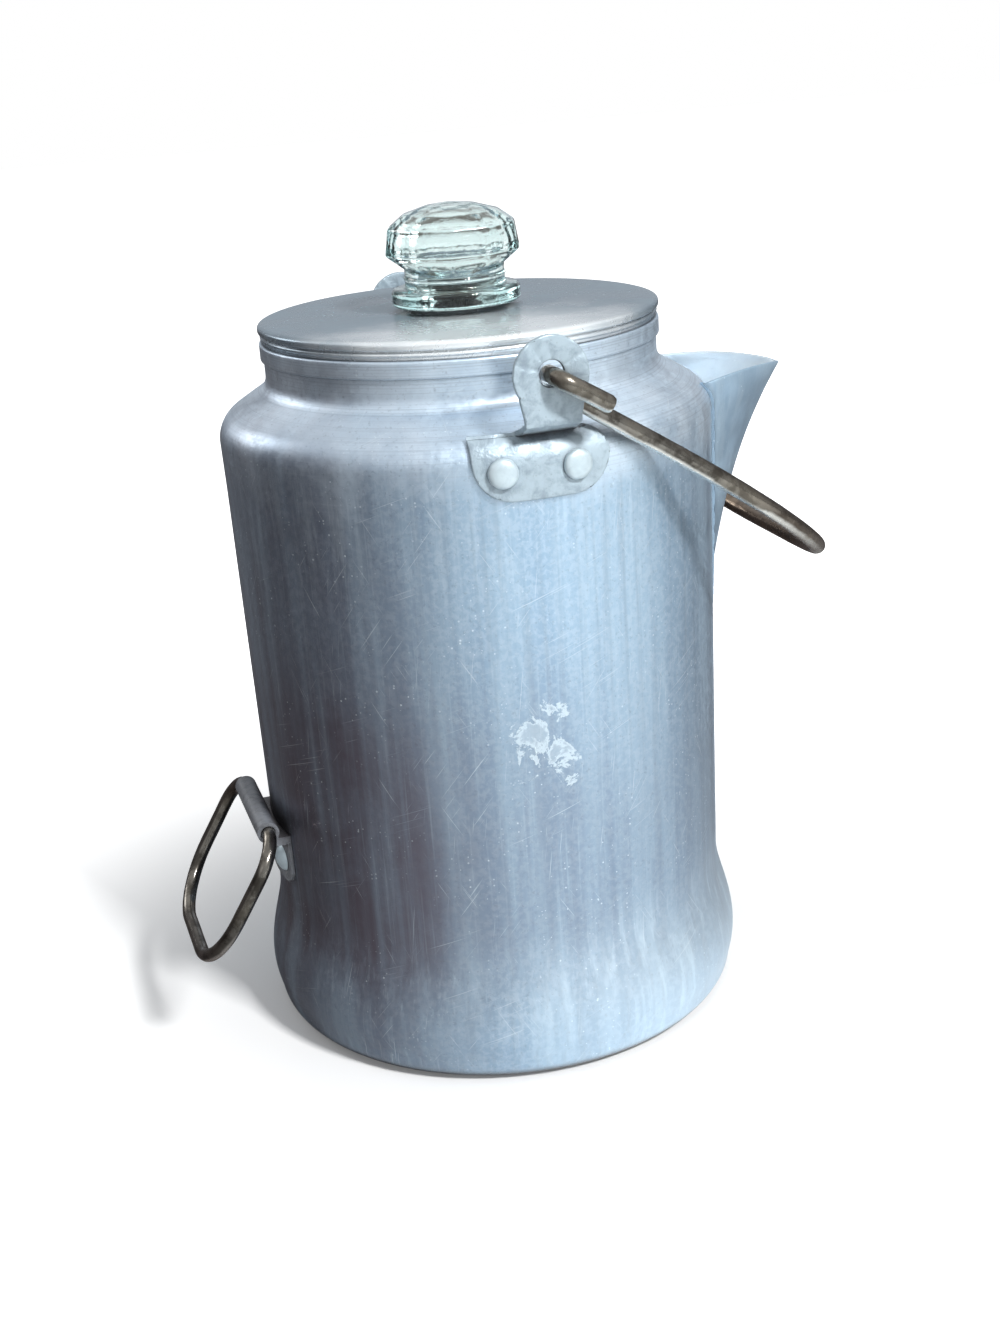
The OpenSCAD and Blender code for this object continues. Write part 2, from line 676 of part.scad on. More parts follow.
// Lid: pressed sheet with a beaded edge over a skirt that plugs into the neck
module lid() {
    t = lid_t;
    rim_seat = rim_z + seat_gap;
    under = lid_top - t;
    edge = lid_top - 1.9;
    bead_z = rim_z + 1.9;
    in_r = skirt_out_r - t;
    line = [[in_r, rim_z - lid_skirt], [skirt_out_r, rim_z - lid_skirt], [skirt_out_r, rim_seat],
            [rim_r - 1.3, rim_seat], [rim_r - 1.1, rim_z + 1.1], [rim_r - 0.6, bead_z - 0.6],
            [rim_r - 0.4, bead_z], [rim_r - 0.6, bead_z + 0.6], [rim_r - 1.2, bead_z + 0.9],
            [lid_r - 1, edge - 1.4], [lid_r - 0.3, edge - 1], [lid_r, edge], [lid_r - 0.3, edge + 1.1],
            [lid_r - 1.1, lid_top - 0.1], [lid_r - 2.2, lid_top], [knob_seat_r + 0.4, lid_top],
            [knob_seat_r, lid_top + 0.4], [knob_seat_r, seat_top - 0.4], [knob_seat_r - 0.4, seat_top],
            [knob_hole_r, seat_top], [knob_hole_r, seat_top - t], [knob_seat_r - t, seat_top - t],
            [knob_seat_r - t, under], [in_r - 0.6, under], [in_r, under - 0.6]];
    color("silver")
        difference() {
            rotate_extrude($fn = 144)
                polygon(line);
            // Notches that let the knob's lugs pass when it is turned a quarter
            for (a = [0, 180])
                intersection() {
                    rotate([0, 0, a + 90 - lug_angle / 2 - 3])
                        rotate_extrude(angle = lug_angle + 6, $fn = 96)
                            translate([0, seat_top - 2 * t])
                                square([knob_neck_r + lug_out + lid_fit, 3 * t]);
                    cylinder(r = knob_seat_r - t, h = 2 * lid_top);
                }
        }
}

// Knob: pressed glass, hollow, ten facets over a round flange and a neck with two lugs
module glass_knob() {
    waist_z0 = seat_top + knob_flange_h;
    waist_z1 = waist_z0 + knob_waist_h;
    belly_z = waist_z1 + 5;
    crown_z = belly_z + 9;
    top = seat_top + knob_h;
    dome_z = top - 3.4;
    round_z = 1.6;
    glass_t = 4.6;
    lug_z = seat_top - lid_t - lug_gap - lug_h;
    color("powderblue", 0.6)
        difference() {
            union() {
                translate([0, 0, waist_z1])
                    cylinder(r1 = knob_waist_r + 1, r2 = knob_r, h = belly_z - waist_z1, $fn = knob_facets);
                translate([0, 0, belly_z])
                    cylinder(r1 = knob_r, r2 = knob_crown_r, h = crown_z - belly_z, $fn = knob_facets);
                translate([0, 0, crown_z])
                    cylinder(r1 = knob_crown_r, r2 = knob_dome_r, h = dome_z - crown_z, $fn = knob_facets);
                translate([0, 0, dome_z])
                    cylinder(r1 = knob_dome_r, r2 = knob_dome_r * 0.5, h = top - dome_z - 0.8,
                             $fn = knob_facets);
                translate([0, 0, top - 0.8])
                    cylinder(r1 = knob_dome_r * 0.5, r2 = knob_dome_r * 0.12, h = 0.8, $fn = knob_facets);
                rotate_extrude($fn = 96)
                    polygon([[0, seat_top], [knob_flange_r - round_z, seat_top],
                             [knob_flange_r, seat_top + round_z],
                             [knob_flange_r, waist_z0 - round_z],
                             [knob_flange_r - round_z, waist_z0], [knob_waist_r + 0.8, waist_z0],
                             [knob_waist_r, waist_z0 + 0.8], [knob_waist_r, waist_z1 + 0.5],
                             [0, waist_z1 + 0.5]]);
                translate([0, 0, seat_top - knob_neck_h])
                    cylinder(r = knob_neck_r, h = knob_neck_h);
                for (a = [0, 180])
                    rotate([0, 0, a - lug_angle / 2])
                        rotate_extrude(angle = lug_angle, $fn = 96)
                            translate([knob_neck_r - 1, lug_z])
                                square([lug_out + 1, lug_h]);
            }
            rotate_extrude($fn = 64)
                polygon([[0, seat_top - knob_neck_h - 1], [knob_bore_r, seat_top - knob_neck_h - 1],
                         [knob_bore_r, waist_z0], [knob_waist_r - glass_t, waist_z0 + 1.5],
                         [knob_waist_r - glass_t, waist_z1 - 1], [knob_r - glass_t - 2, belly_z],
                         [knob_crown_r - glass_t - 2.5, crown_z - 1.5], [9, top - glass_t - 1.2],
                         [0, top - glass_t]]);
        }
}

module pump_tube() {
    color("silver")
        rotate_extrude($fn = 64)
            polygon([[tube_bore_r, foot_z + foot_h - 6], [tube_r, foot_z + foot_h - 6],
                     [tube_r, tube_top_z], [tube_bore_r, tube_top_z]]);
}

// Foot: a bell of sheet with inlets cut into its edge, crimped on to the tube
module pump_foot() {
    t = inner_t;
    r0 = tube_r + seat_gap;
    bell = [for (i = [0:8]) let (a = 90 * i / 8)
        [foot_r - 3 - (foot_r - 3 - r0 - t) * sin(a), foot_z + t + (foot_h - 6 - t) * (1 - cos(a))]];
    inlet_w = 9;
    color("silver")
        difference() {
            rotate_extrude($fn = 96)
                polygon(concat([[foot_r, foot_z], [foot_r, foot_z + t]], bell,
                               [[r0 + t, foot_z + foot_h], [r0, foot_z + foot_h]],
                               [for (i = [8:-1:0]) [bell[i][0] - t, bell[i][1] - t]],
                               [[foot_r - 3, foot_z]]));
            for (k = [0:foot_inlets - 1])
                rotate([0, 0, 45 + k * 360 / foot_inlets])
                    translate([foot_r - 7, -inlet_w / 2, foot_z - 1])
                        cube([8, inlet_w, 4]);
        }
}

module basket_stop() {
    color("silver")
        rotate_extrude($fn = 64)
            polygon([[tube_r + seat_gap, stop_z], [tube_r + seat_gap + inner_t, stop_z],
                     [stop_r, stop_z + stop_h - 1.2], [stop_r, stop_z + stop_h - seat_gap],
                     [tube_r + seat_gap, stop_z + stop_h - seat_gap]]);
}

// Rings of holes through a flat sheet, from the radius r0 outwards
module perforations(r0, r1, z, h) {
    pitch = perforation_pitch;
    rings = floor((r1 - r0) / pitch);
    for (ring = [0:rings]) {
        r = r0 + ring * pitch;
        count = floor(2 * PI * r / pitch);
        for (k = [0:count - 1])
            rotate([0, 0, (k + ring / 2) * 360 / count])
                translate([r, 0, z])
                    cylinder(d = perforation_d, h = h, $fn = 16);
    }
}

// Basket: a drawn cup with a perforated floor and a rolled brim
module basket() {
    t = inner_t;
    r = basket_r;
    c = basket_corner_r;
    color("silver")
        difference() {
            rotate_extrude($fn = 144)
                polygon(concat([[sleeve_bore_r + t + seat_gap, basket_z]],
                               arc(r - c, basket_z + c, c, -90, 0, 5),
                               [[r, basket_top - 2.4], [r + 1.6, basket_top - 2.4],
                                [r + 2, basket_top - 1.6], [r + 1.6, basket_top - 0.4],
                                [r + 0.8, basket_top], [r - t, basket_top]],
                               reversed(arc(r - c, basket_z + c, c - t, -90, 0, 5)),
                               [[sleeve_bore_r + t + seat_gap, basket_z + t]]));
            perforations(perforation_r0, r - c - 1.5 * perforation_d, basket_z - 1, t + 2);
        }
}

module basket_sleeve() {
    color("silver")
        rotate_extrude($fn = 64)
            polygon([[sleeve_bore_r, basket_z], [sleeve_bore_r + inner_t, basket_z],
                     [sleeve_bore_r + inner_t, basket_top - 6], [sleeve_bore_r, basket_top - 6]]);
}

// Spreader: a perforated plate that drops into the basket's mouth and hangs on its brim
module spreader() {
    t = inner_t;
    r = basket_r - t - 0.4;
    hang = basket_top - 2;
    over = basket_top + seat_gap;
    color("silver")
        difference() {
            rotate_extrude($fn = 144)
                polygon([[sleeve_bore_r + t + seat_gap, hang], [r - 1, hang], [r, hang + 0.8], [r, over],
                         [basket_r + 1, over], [basket_r + 1, over + t], [r - t, over + t],
                         [r - t, hang + t], [sleeve_bore_r + t + seat_gap, hang + t]]);
            perforations(perforation_r0, r - 2 * perforation_d, hang - 1, t + 2);
        }
}

module spreader_sleeve() {
    hang = basket_top - 2;
    color("silver")
        rotate_extrude($fn = 64)
            polygon([[sleeve_bore_r, hang - 2], [sleeve_bore_r + inner_t, hang - 2],
                     [sleeve_bore_r + inner_t, hang + 6], [sleeve_bore_r + inner_t + 0.8, hang + 6.8],
                     [sleeve_bore_r, hang + 6.8]]);
}

body_shell();
spout();
ear(1);  // left_ear
ear(-1);  // right_ear
ear_rivets(1);  // left_ear_rivets
ear_rivets(-1);  // right_ear_rivets
tilt_bracket();
tilt_bracket_rivets();
bail_handle();
tilt_handle();
lid();
glass_knob();
pump_tube();
pump_foot();
basket_stop();
basket();
basket_sleeve();
spreader();
spreader_sleeve();
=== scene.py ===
"""Stovetop percolator coffee pot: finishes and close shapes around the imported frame.

Metres throughout, +Z up, the spout towards +X and the ears at -Y and +Y. The sections follow
the pot as it is put together. Each holds its own sizes, colours, mesh, material and frame calls.
"""

import math

import bmesh
import bpy
from mathutils import Matrix, Quaternion, Vector, noise


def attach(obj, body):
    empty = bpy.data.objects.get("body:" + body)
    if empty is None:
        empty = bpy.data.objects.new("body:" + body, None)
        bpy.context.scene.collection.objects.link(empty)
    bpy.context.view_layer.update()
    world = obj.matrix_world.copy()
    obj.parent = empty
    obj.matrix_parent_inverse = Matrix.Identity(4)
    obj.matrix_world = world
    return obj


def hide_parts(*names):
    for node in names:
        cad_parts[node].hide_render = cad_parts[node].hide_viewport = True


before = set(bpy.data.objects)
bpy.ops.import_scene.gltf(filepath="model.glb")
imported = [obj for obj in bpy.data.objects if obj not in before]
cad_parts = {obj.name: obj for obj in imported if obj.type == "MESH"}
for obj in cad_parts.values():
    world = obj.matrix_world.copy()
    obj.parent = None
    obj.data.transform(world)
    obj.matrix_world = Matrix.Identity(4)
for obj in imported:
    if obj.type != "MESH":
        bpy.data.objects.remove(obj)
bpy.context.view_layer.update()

MM = 0.001

# ---------------------------------------------------------------- camera
# A plain camera on a stand, a little above the pot and on the side of the right ear.
# It is tipped slightly to the right, as a camera held by hand is.
camera_place = Vector((-0.17211, -0.6206, 0.35493))
camera_heading = math.radians(73.96)
camera_pitch = math.radians(-19.56)
camera_roll = math.radians(-4.1)
camera_lens = 48.65


def new_object(name, data):
    """Puts new data into the scene as an object."""
    made = bpy.data.objects.new(name, data)
    bpy.context.scene.collection.objects.link(made)
    return made


looks_along = Vector((math.cos(camera_pitch) * math.cos(camera_heading),
                      math.cos(camera_pitch) * math.sin(camera_heading),
                      math.sin(camera_pitch)))
camera_data = bpy.data.cameras.new("camera")
camera_data.lens = camera_lens
camera_data.clip_start = 0.01
camera = new_object("camera", camera_data)
camera.location = camera_place
camera.rotation_mode = "QUATERNION"
level = looks_along.to_track_quat("-Z", "Y")
camera.rotation_quaternion = level @ Quaternion((0, 0, 1), camera_roll)
bpy.context.scene.camera = camera


# ---------------------------------------------------------------- body shell
# One piece of aluminium, spun from a flat disc: base, flared skirt, wall, shoulder and neck,
# with a band rolled at the mouth. The strainer holes are punched through the wall.
wall_top_r = 88.3 * MM
skirt_r = wall_top_r + 2.9 * MM
base_r = skirt_r - 10.6 * MM
base_corner_r = 8.7 * MM
skirt_z = 19.4 * MM
waist_r = wall_top_r - 2.8 * MM
waist_z = 52 * MM
shoulder_z = 222.5 * MM
shoulder_edge_r = 11.5 * MM
shoulder_turn = 58
neck_r = wall_top_r - 18.5 * MM
neck_fillet_r = 6.5 * MM
wall = 1.2 * MM
rim_h = 5.9 * MM
rim_out = 1.1 * MM
neck_h = 5.8 * MM
splash_place = (-0.0065, -0.0865, 0.127)


def cosd(angle):
    return math.cos(math.radians(angle))


def sind(angle):
    return math.sin(math.radians(angle))


def arc(x, z, r, start, end, steps):
    """Points on a circle in the plane of an outline, from one angle to another."""
    turns = [start + (end - start) * i / steps for i in range(steps + 1)]
    return [(x + r * cosd(a), z + r * sind(a)) for a in turns]


def eased(corners, steps=4):
    """An outline through corners (r, z, ease), each rounded by that many millimetres."""
    line = []
    for i, (x, z, ease) in enumerate(corners):
        here = Vector((x, z))
        if ease == 0 or i in (0, len(corners) - 1):
            line.append((x, z))
            continue
        before = Vector(corners[i - 1][:2]) - here
        after = Vector(corners[i + 1][:2]) - here
        start = here + before.normalized() * min(ease * MM, before.length * 0.48)
        end = here + after.normalized() * min(ease * MM, after.length * 0.48)
        for k in range(steps + 1):
            t = k / steps
            p = start * (1 - t) ** 2 + here * 2 * t * (1 - t) + end * t ** 2
            line.append((p.x, p.y))
    return line


def piece_from(name, vertices, faces, smooth_under=35):
    """A mesh piece, smooth across edges that turn less than the angle given."""
    mesh = bpy.data.meshes.new(name)
    mesh.from_pydata([tuple(v) for v in vertices], [], faces)
    mesh.validate()
    mesh.shade_smooth()
    mesh.set_sharp_from_angle(angle=math.radians(smooth_under))
    return new_object(name, mesh)


def lathe(name, outline, segments=256, closed=True, smooth_under=35):
    """Turns an outline of (r, z) points round Z. Points on the axis share one vertex."""
    vertices, rings = [], []
    for r, z in outline:
        if r < 1e-7:
            rings.append([len(vertices)] * segments)
            vertices.append((0, 0, z))
        else:
            rings.append(list(range(len(vertices), len(vertices) + segments)))
            for k in range(segments):
                a = 2 * math.pi * k / segments
                vertices.append((r * math.cos(a), r * math.sin(a), z))
    faces = []
    for i in range(len(rings) if closed else len(rings) - 1):
        low, high = rings[i], rings[(i + 1) % len(rings)]
        for k in range(segments):
            ring = [low[k], low[(k + 1) % segments], high[(k + 1) % segments], high[k]]
            corners = list(dict.fromkeys(ring))
            if len(corners) > 2:
                faces.append(corners)
    return piece_from(name, vertices, faces, smooth_under)


edge_x = wall_top_r - shoulder_edge_r
slope_start = (edge_x + shoulder_edge_r * cosd(shoulder_turn),
               shoulder_z + shoulder_edge_r * sind(shoulder_turn))
fillet_x = neck_r + neck_fillet_r
slope_run = (slope_start[0] - fillet_x + neck_fillet_r * cosd(shoulder_turn)) / sind(shoulder_turn)
fillet_z = slope_start[1] + slope_run * cosd(shoulder_turn) + neck_fillet_r * sind(shoulder_turn)
rim_z0 = fillet_z + neck_h
rim_z = rim_z0 + rim_h
rim_r = neck_r + rim_out


def wall_radius(z):
    """Outside radius of the body from the base's corner to the end of the shoulder's edge."""
    if z < skirt_z:
        low = base_r + base_corner_r
        rise = max(0, z - base_corner_r) / (skirt_z - base_corner_r)
        return low + (skirt_r - low) * sind(90 * rise)
    if z < waist_z:
        return waist_r + (skirt_r - waist_r) * (1 + cosd(180 * (z - skirt_z) / (waist_z - skirt_z))) / 2
    if z < shoulder_z:
        return waist_r + (wall_top_r - waist_r) * (z - waist_z) / (shoulder_z - waist_z)
    return edge_x + math.sqrt(shoulder_edge_r ** 2 - (z - shoulder_z) ** 2)


def body_line(depth):
    """The body's outline from the base to the neck, moved inwards by depth."""
    line = arc(base_r, base_corner_r, base_corner_r - depth, -90, 0, 10)
    heights = [base_corner_r + (skirt_z - base_corner_r) * i / 6 for i in range(1, 7)]
    heights += [skirt_z + (waist_z - skirt_z) * i / 16 for i in range(1, 17)]
    heights += [waist_z + (shoulder_z - waist_z) * i / 48 for i in range(1, 48)]
    line += [(wall_radius(z) - depth, z) for z in heights]
    line += arc(edge_x, shoulder_z, shoulder_edge_r - depth, 0, shoulder_turn, 12)
    line += arc(fillet_x, fillet_z, neck_fillet_r + depth, 180 + shoulder_turn, 180, 8)
    return line


rim_band = eased([(neck_r, rim_z0, 0), (rim_r, rim_z0, 0.35), (rim_r, rim_z, 1.1),
                  (neck_r - wall, rim_z, 0.4), (neck_r - wall, rim_z - 2 * MM, 0)], 5)
outline = [(0, 0), (base_r * 0.5, 0)] + body_line(0) + rim_band
outline += body_line(wall)[::-1] + [(base_r * 0.5, wall), (0, wall)]
body = lathe("body", outline, 288, closed=False)

# Hand-worn: the wall is a little out of round and has shallow dents, all pushed inwards
dents = [((-0.030, -0.083, 0.118), 0.020, 0.35 * MM), ((0.028, -0.082, 0.060), 0.016, 0.30 * MM),
         ((0.060, -0.061, 0.150), 0.024, 0.30 * MM), ((-0.074, -0.044, 0.190), 0.018, 0.35 * MM),
         ((-0.050, 0.068, 0.130), 0.022, 0.45 * MM), ((0.010, 0.084, 0.090), 0.018, 0.35 * MM)]
for vertex in body.data.vertices:
    p = vertex.co
    r = math.hypot(p.x, p.y)
    if waist_r - 4 * MM < r and base_corner_r < p.z < shoulder_z:
        wave = 0.5 + 0.5 * noise.noise(Vector((p.x, p.y, p.z * 0.45)) * 26)
        clear = min(1, (p.z - base_corner_r) / (18 * MM), (shoulder_z - p.z) / (16 * MM))
        push = 0.22 * MM * wave * clear
        for place, width, depth in dents:
            near = (p - Vector(place)).length / width
            push += depth * math.exp(-near * near * 2.5)
        p.x -= push * p.x / r
        p.y -= push * p.y / r

# Strainer holes behind the spout: staggered rows
strainer_d = 4.2 * MM
strainer_pitch = 8.4 * MM
strainer_top = shoulder_z + 5.5 * MM - 18 * MM
punch = bmesh.new()
for row in range(6):
    count = 3 + (row + 1) % 2
    for k in range(count):
        turn = (k - (count - 1) / 2) * strainer_pitch / wall_top_r
        height = strainer_top - row * strainer_pitch * sind(60)
        place = Matrix.Rotation(turn, 4, "Z") @ Matrix.Translation((wall_top_r, 0, height))
        bmesh.ops.create_cone(punch, cap_ends=True, segments=24, radius1=strainer_d / 2,
                              radius2=strainer_d / 2, depth=12 * MM,
                              matrix=place @ Matrix.Rotation(math.pi / 2, 4, "Y"))
punch_mesh = bpy.data.meshes.new("punch")
punch.to_mesh(punch_mesh)
punch.free()
punch_object = new_object("punch", punch_mesh)


def cut_with(target, tool):
    """Takes the tool's shape out of the target for good, and removes the tool."""
    cut = target.modifiers.new("cut", "BOOLEAN")
    cut.operation = "DIFFERENCE"
    cut.solver = "EXACT"
    cut.object = tool
    graph = bpy.context.evaluated_depsgraph_get()
    result = bpy.data.meshes.new_from_object(target.evaluated_get(graph))
    target.modifiers.clear()
    target.data = result
    bpy.data.objects.remove(tool)
    result.shade_smooth()
    result.set_sharp_from_angle(angle=math.radians(35))


cut_with(body, punch_object)


def fill(tree, node, values):
    """Sets a node's inputs, or links them where a value is the output of another node."""
    for key, value in values.items():
        if isinstance(value, bpy.types.NodeSocket):
            tree.links.new(value, node.inputs[key])
        else:
            node.inputs[key].default_value = value


def add(tree, kind, inputs=None, **settings):
    """Adds a shader node. Its inputs are numbers, colours or the outputs of other nodes."""
    made = tree.nodes.new("ShaderNode" + kind)
    for key, value in settings.items():
        setattr(made, key, value)
    fill(tree, made, inputs or {})
    return made


def maths(tree, operation, a, b=0.5, c=None, clamp=False):
    """One step of arithmetic; a, b and c are numbers or outputs."""
    inputs = {0: a, 1: b} if c is None else {0: a, 1: b, 2: c}
    return add(tree, "Math", inputs, operation=operation, use_clamp=clamp).outputs[0]


def times(tree, first, *others):
    """The product of all the values."""
    for other in others:
        first = maths(tree, "MULTIPLY", first, other)
    return first


def scaled(tree, value, factor, plus):
    """The value times a factor, plus another value."""
    return maths(tree, "MULTIPLY_ADD", value, factor, plus)


def vector_maths(tree, operation, a, b=(0, 0, 0)):
    """One step of vector arithmetic: a vector, or a number where the operation gives one."""
    node = add(tree, "VectorMath", {0: a, 1: b}, operation=operation)
    return node.outputs["Value" if operation in ("LENGTH", "DISTANCE", "DOT_PRODUCT") else "Vector"]


def object_place(tree):
    """The point on the piece, in metres."""
    return add(tree, "TexCoord").outputs["Object"]


def axes(tree, vector):
    """The three numbers of a vector."""
    return add(tree, "SeparateXYZ", {0: vector}).outputs


def noise_of(tree, place, scale, detail, roughness=0.5, distortion=0.0):
    """Soft noise from 0 to 1 at a place."""
    return add(tree, "TexNoise", {"Vector": place, "Scale": scale, "Detail": detail,
                                  "Roughness": roughness, "Distortion": distortion}).outputs[0]


def mixed(tree, factor, a, b):
    """Mixes two colours by a factor."""
    return add(tree, "Mix", {0: factor, 6: a, 7: b}, data_type="RGBA").outputs[2]


def layered(tree, colour, *layers):
    """Lays paints over a colour, one after the other; each is (mask, share, paint)."""
    for mask, share, paint in layers:
        colour = mixed(tree, mask if share == 1 else times(tree, mask, share), colour, paint)
    return colour


def ranged(tree, value, low, high, to_low=0.0, to_high=1.0, kind="SMOOTHSTEP"):
    """Spreads the values from low to high over a new range, with soft ends or straight."""
    inputs = {"Value": value, "From Min": low, "From Max": high, "To Min": to_low, "To Max": to_high}
    return add(tree, "MapRange", inputs, interpolation_type=kind).outputs[0]


def new_group(name, output, **inputs):
    """A shader node group with named sockets; returns the tree, its inputs and its output."""
    tree = bpy.data.node_groups.new(name, "ShaderNodeTree")
    for label, start in inputs.items():
        kind = "NodeSocketVector" if isinstance(start, tuple) else "NodeSocketFloat"
        tree.interface.new_socket(name=label, in_out="INPUT", socket_type=kind).default_value = start
    tree.interface.new_socket(name=output, in_out="OUTPUT", socket_type="NodeSocketFloat")
    given = tree.nodes.new("NodeGroupInput").outputs
    return tree, given, tree.nodes.new("NodeGroupOutput").inputs[output]


def placed(tree, group, **inputs):
    """Puts a node group into a tree with its own values and returns its output."""
    node = tree.nodes.new("ShaderNodeGroup")
    node.node_tree = group
    fill(tree, node, inputs)
    return node.outputs[0]


def bumped(tree, height, strength, distance):
    """The normal of a surface raised by a height."""
    return add(tree, "Bump", {"Strength": strength, "Distance": distance, "Height": height}).outputs[0]


def make_run_marks():
    """Marks left by water that ran down and dried: long soft bands along Z with ragged ends."""
    tree, given, end = new_group("run_marks", "Mask", Width=0.006, Length=0.12, Low=0.45, High=0.7)
    across, along = [maths(tree, "DIVIDE", 1.0, given[label]) for label in ("Width", "Length")]
    sizes = add(tree, "CombineXYZ", {0: across, 1: across, 2: along}).outputs[0]
    bands = noise_of(tree, vector_maths(tree, "MULTIPLY", object_place(tree), sizes), 1.0, 4.0, 0.6)
    tree.links.new(ranged(tree, bands, given["Low"], given["High"]), end)
    return tree


def make_turning_lines():
    """Fine rings left by the spinning tool, the same all the way round, faint and uneven."""
    tree, given, end = new_group("turning_lines", "Height", Pitch=0.0006)
    x, y, z = axes(tree, object_place(tree))
    out = maths(tree, "SQRT", maths(tree, "ADD", times(tree, x, x), times(tree, y, y)))
    step = maths(tree, "DIVIDE", 1.0, given["Pitch"])
    flat = add(tree, "CombineXYZ", {0: times(tree, out, step), 1: times(tree, z, step)}).outputs[0]
    tree.links.new(noise_of(tree, flat, 1.0, 3.0, 0.7), end)
    return tree


def make_hair_scratches():
    """Thin straight scratches from cleaning, in four slanting directions on the unrolled wall."""
    tree, given, end = new_group("hair_scratches", "Mask", Radius=0.088, Amount=0.5)
    x, y, z = axes(tree, object_place(tree))
    round_it = times(tree, maths(tree, "ARCTAN2", y, x), given["Radius"])
    unrolled = add(tree, "CombineXYZ", {0: round_it, 1: z}).outputs[0]
    total = None
    for k, (slant, width, length) in enumerate([(38, 0.00055, 0.030), (-32, 0.0005, 0.024),
                                                (71, 0.0006, 0.040), (8, 0.0005, 0.030)]):
        turned = add(tree, "VectorRotate", {"Vector": unrolled, "Angle": math.radians(slant)},
                     rotation_type="Z_AXIS").outputs[0]
        spread = vector_maths(tree, "MULTIPLY", turned, (1 / width, 1 / length, 1))
        moved = vector_maths(tree, "ADD", spread, (17.3 * k, 5.1 * k, 0))
        lines = noise_of(tree, moved, 1.0, 1.0)
        gaps = noise_of(tree, vector_maths(tree, "MULTIPLY", moved, (0.03, 0.8, 1)), 1.0, 2.0)
        one = times(tree, ranged(tree, lines, 0.685, 0.74), ranged(tree, gaps, 0.5, 0.6))
        total = one if total is None else maths(tree, "MAXIMUM", total, one)
    tree.links.new(times(tree, total, given["Amount"]), end)
    return tree


def make_speckle():
    """Small specks: pits and dried spray, denser in patches."""
    tree, given, end = new_group("speckle", "Mask", Size=0.0016, Amount=0.6)
    place = object_place(tree)
    scale = maths(tree, "DIVIDE", 1.0, given["Size"])
    cells = add(tree, "TexVoronoi", {"Vector": place, "Scale": scale})
    chance, size, _ = axes(tree, cells.outputs["Color"])
    few = maths(tree, "GREATER_THAN", chance, 0.72)
    dot = maths(tree, "LESS_THAN", cells.outputs["Distance"], scaled(tree, size, 0.22, 0.05))
    here = ranged(tree, noise_of(tree, place, 38.0, 3.0), 0.42, 0.62)
    tree.links.new(times(tree, few, dot, here, given["Amount"]), end)
    return tree


def make_clouding():
    """Soft uneven oxide over a metal surface, in blotches of the size given."""
    tree, given, end = new_group("clouding", "Mask", Size=0.03, Low=0.35, High=0.65)
    scale = maths(tree, "DIVIDE", 1.0, given["Size"])
    blotches = noise_of(tree, object_place(tree), scale, 5.0, 0.6, 0.3)
    tree.links.new(ranged(tree, blotches, given["Low"], given["High"]), end)
    return tree


def make_crease_shade_and_dirt():
    """Creases and places where pieces meet: painted shade there, and old polish and soot that collect
    in them.
    """
    tree, given, end = new_group("crease_shade_and_dirt", "Mask", Reach=0.006)
    open_share = add(tree, "AmbientOcclusion", {"Distance": given["Reach"]}, samples=6).outputs["AO"]
    tree.links.new(ranged(tree, open_share, 0.78, 0.3), end)
    return tree


run_marks = make_run_marks()
turning_lines = make_turning_lines()
hair_scratches = make_hair_scratches()
speckle = make_speckle()
clouding = make_clouding()
crease_shade_and_dirt = make_crease_shade_and_dirt()


# The three marks that most of the metals share, each placed by one short call
def clouded(tree, size, low, high):
    return placed(tree, clouding, Size=size, Low=low, High=high)


def streaked(tree, width, length, low, high):
    return placed(tree, run_marks, Width=width, Length=length, Low=low, High=high)


def specked(tree, size, amount):
    return placed(tree, speckle, Size=size, Amount=amount)


def shaded_and_grimed(tree, colour, strength, reach):
    """Darkens a colour in its creases: painted shade, and dirt."""
    creases = placed(tree, crease_shade_and_dirt, Reach=reach)
    return layered(tree, colour, (creases, strength, (0.06, 0.055, 0.06, 1)))


def new_material(name, fixed):
    """A material with one Principled shader whose fixed values sit on its own sockets."""
    made = bpy.data.materials.new(name)
    made.use_nodes = True
    shader = made.node_tree.nodes["Principled BSDF"]
    fill(made.node_tree, shader, fixed)
    return made, made.node_tree, shader


def dress(piece, material):
    """Gives a piece one material in all its slots."""
    if piece.data.materials:
        for k in range(len(piece.data.materials)):
            piece.data.materials[k] = material
    else:
        piece.data.materials.append(material)


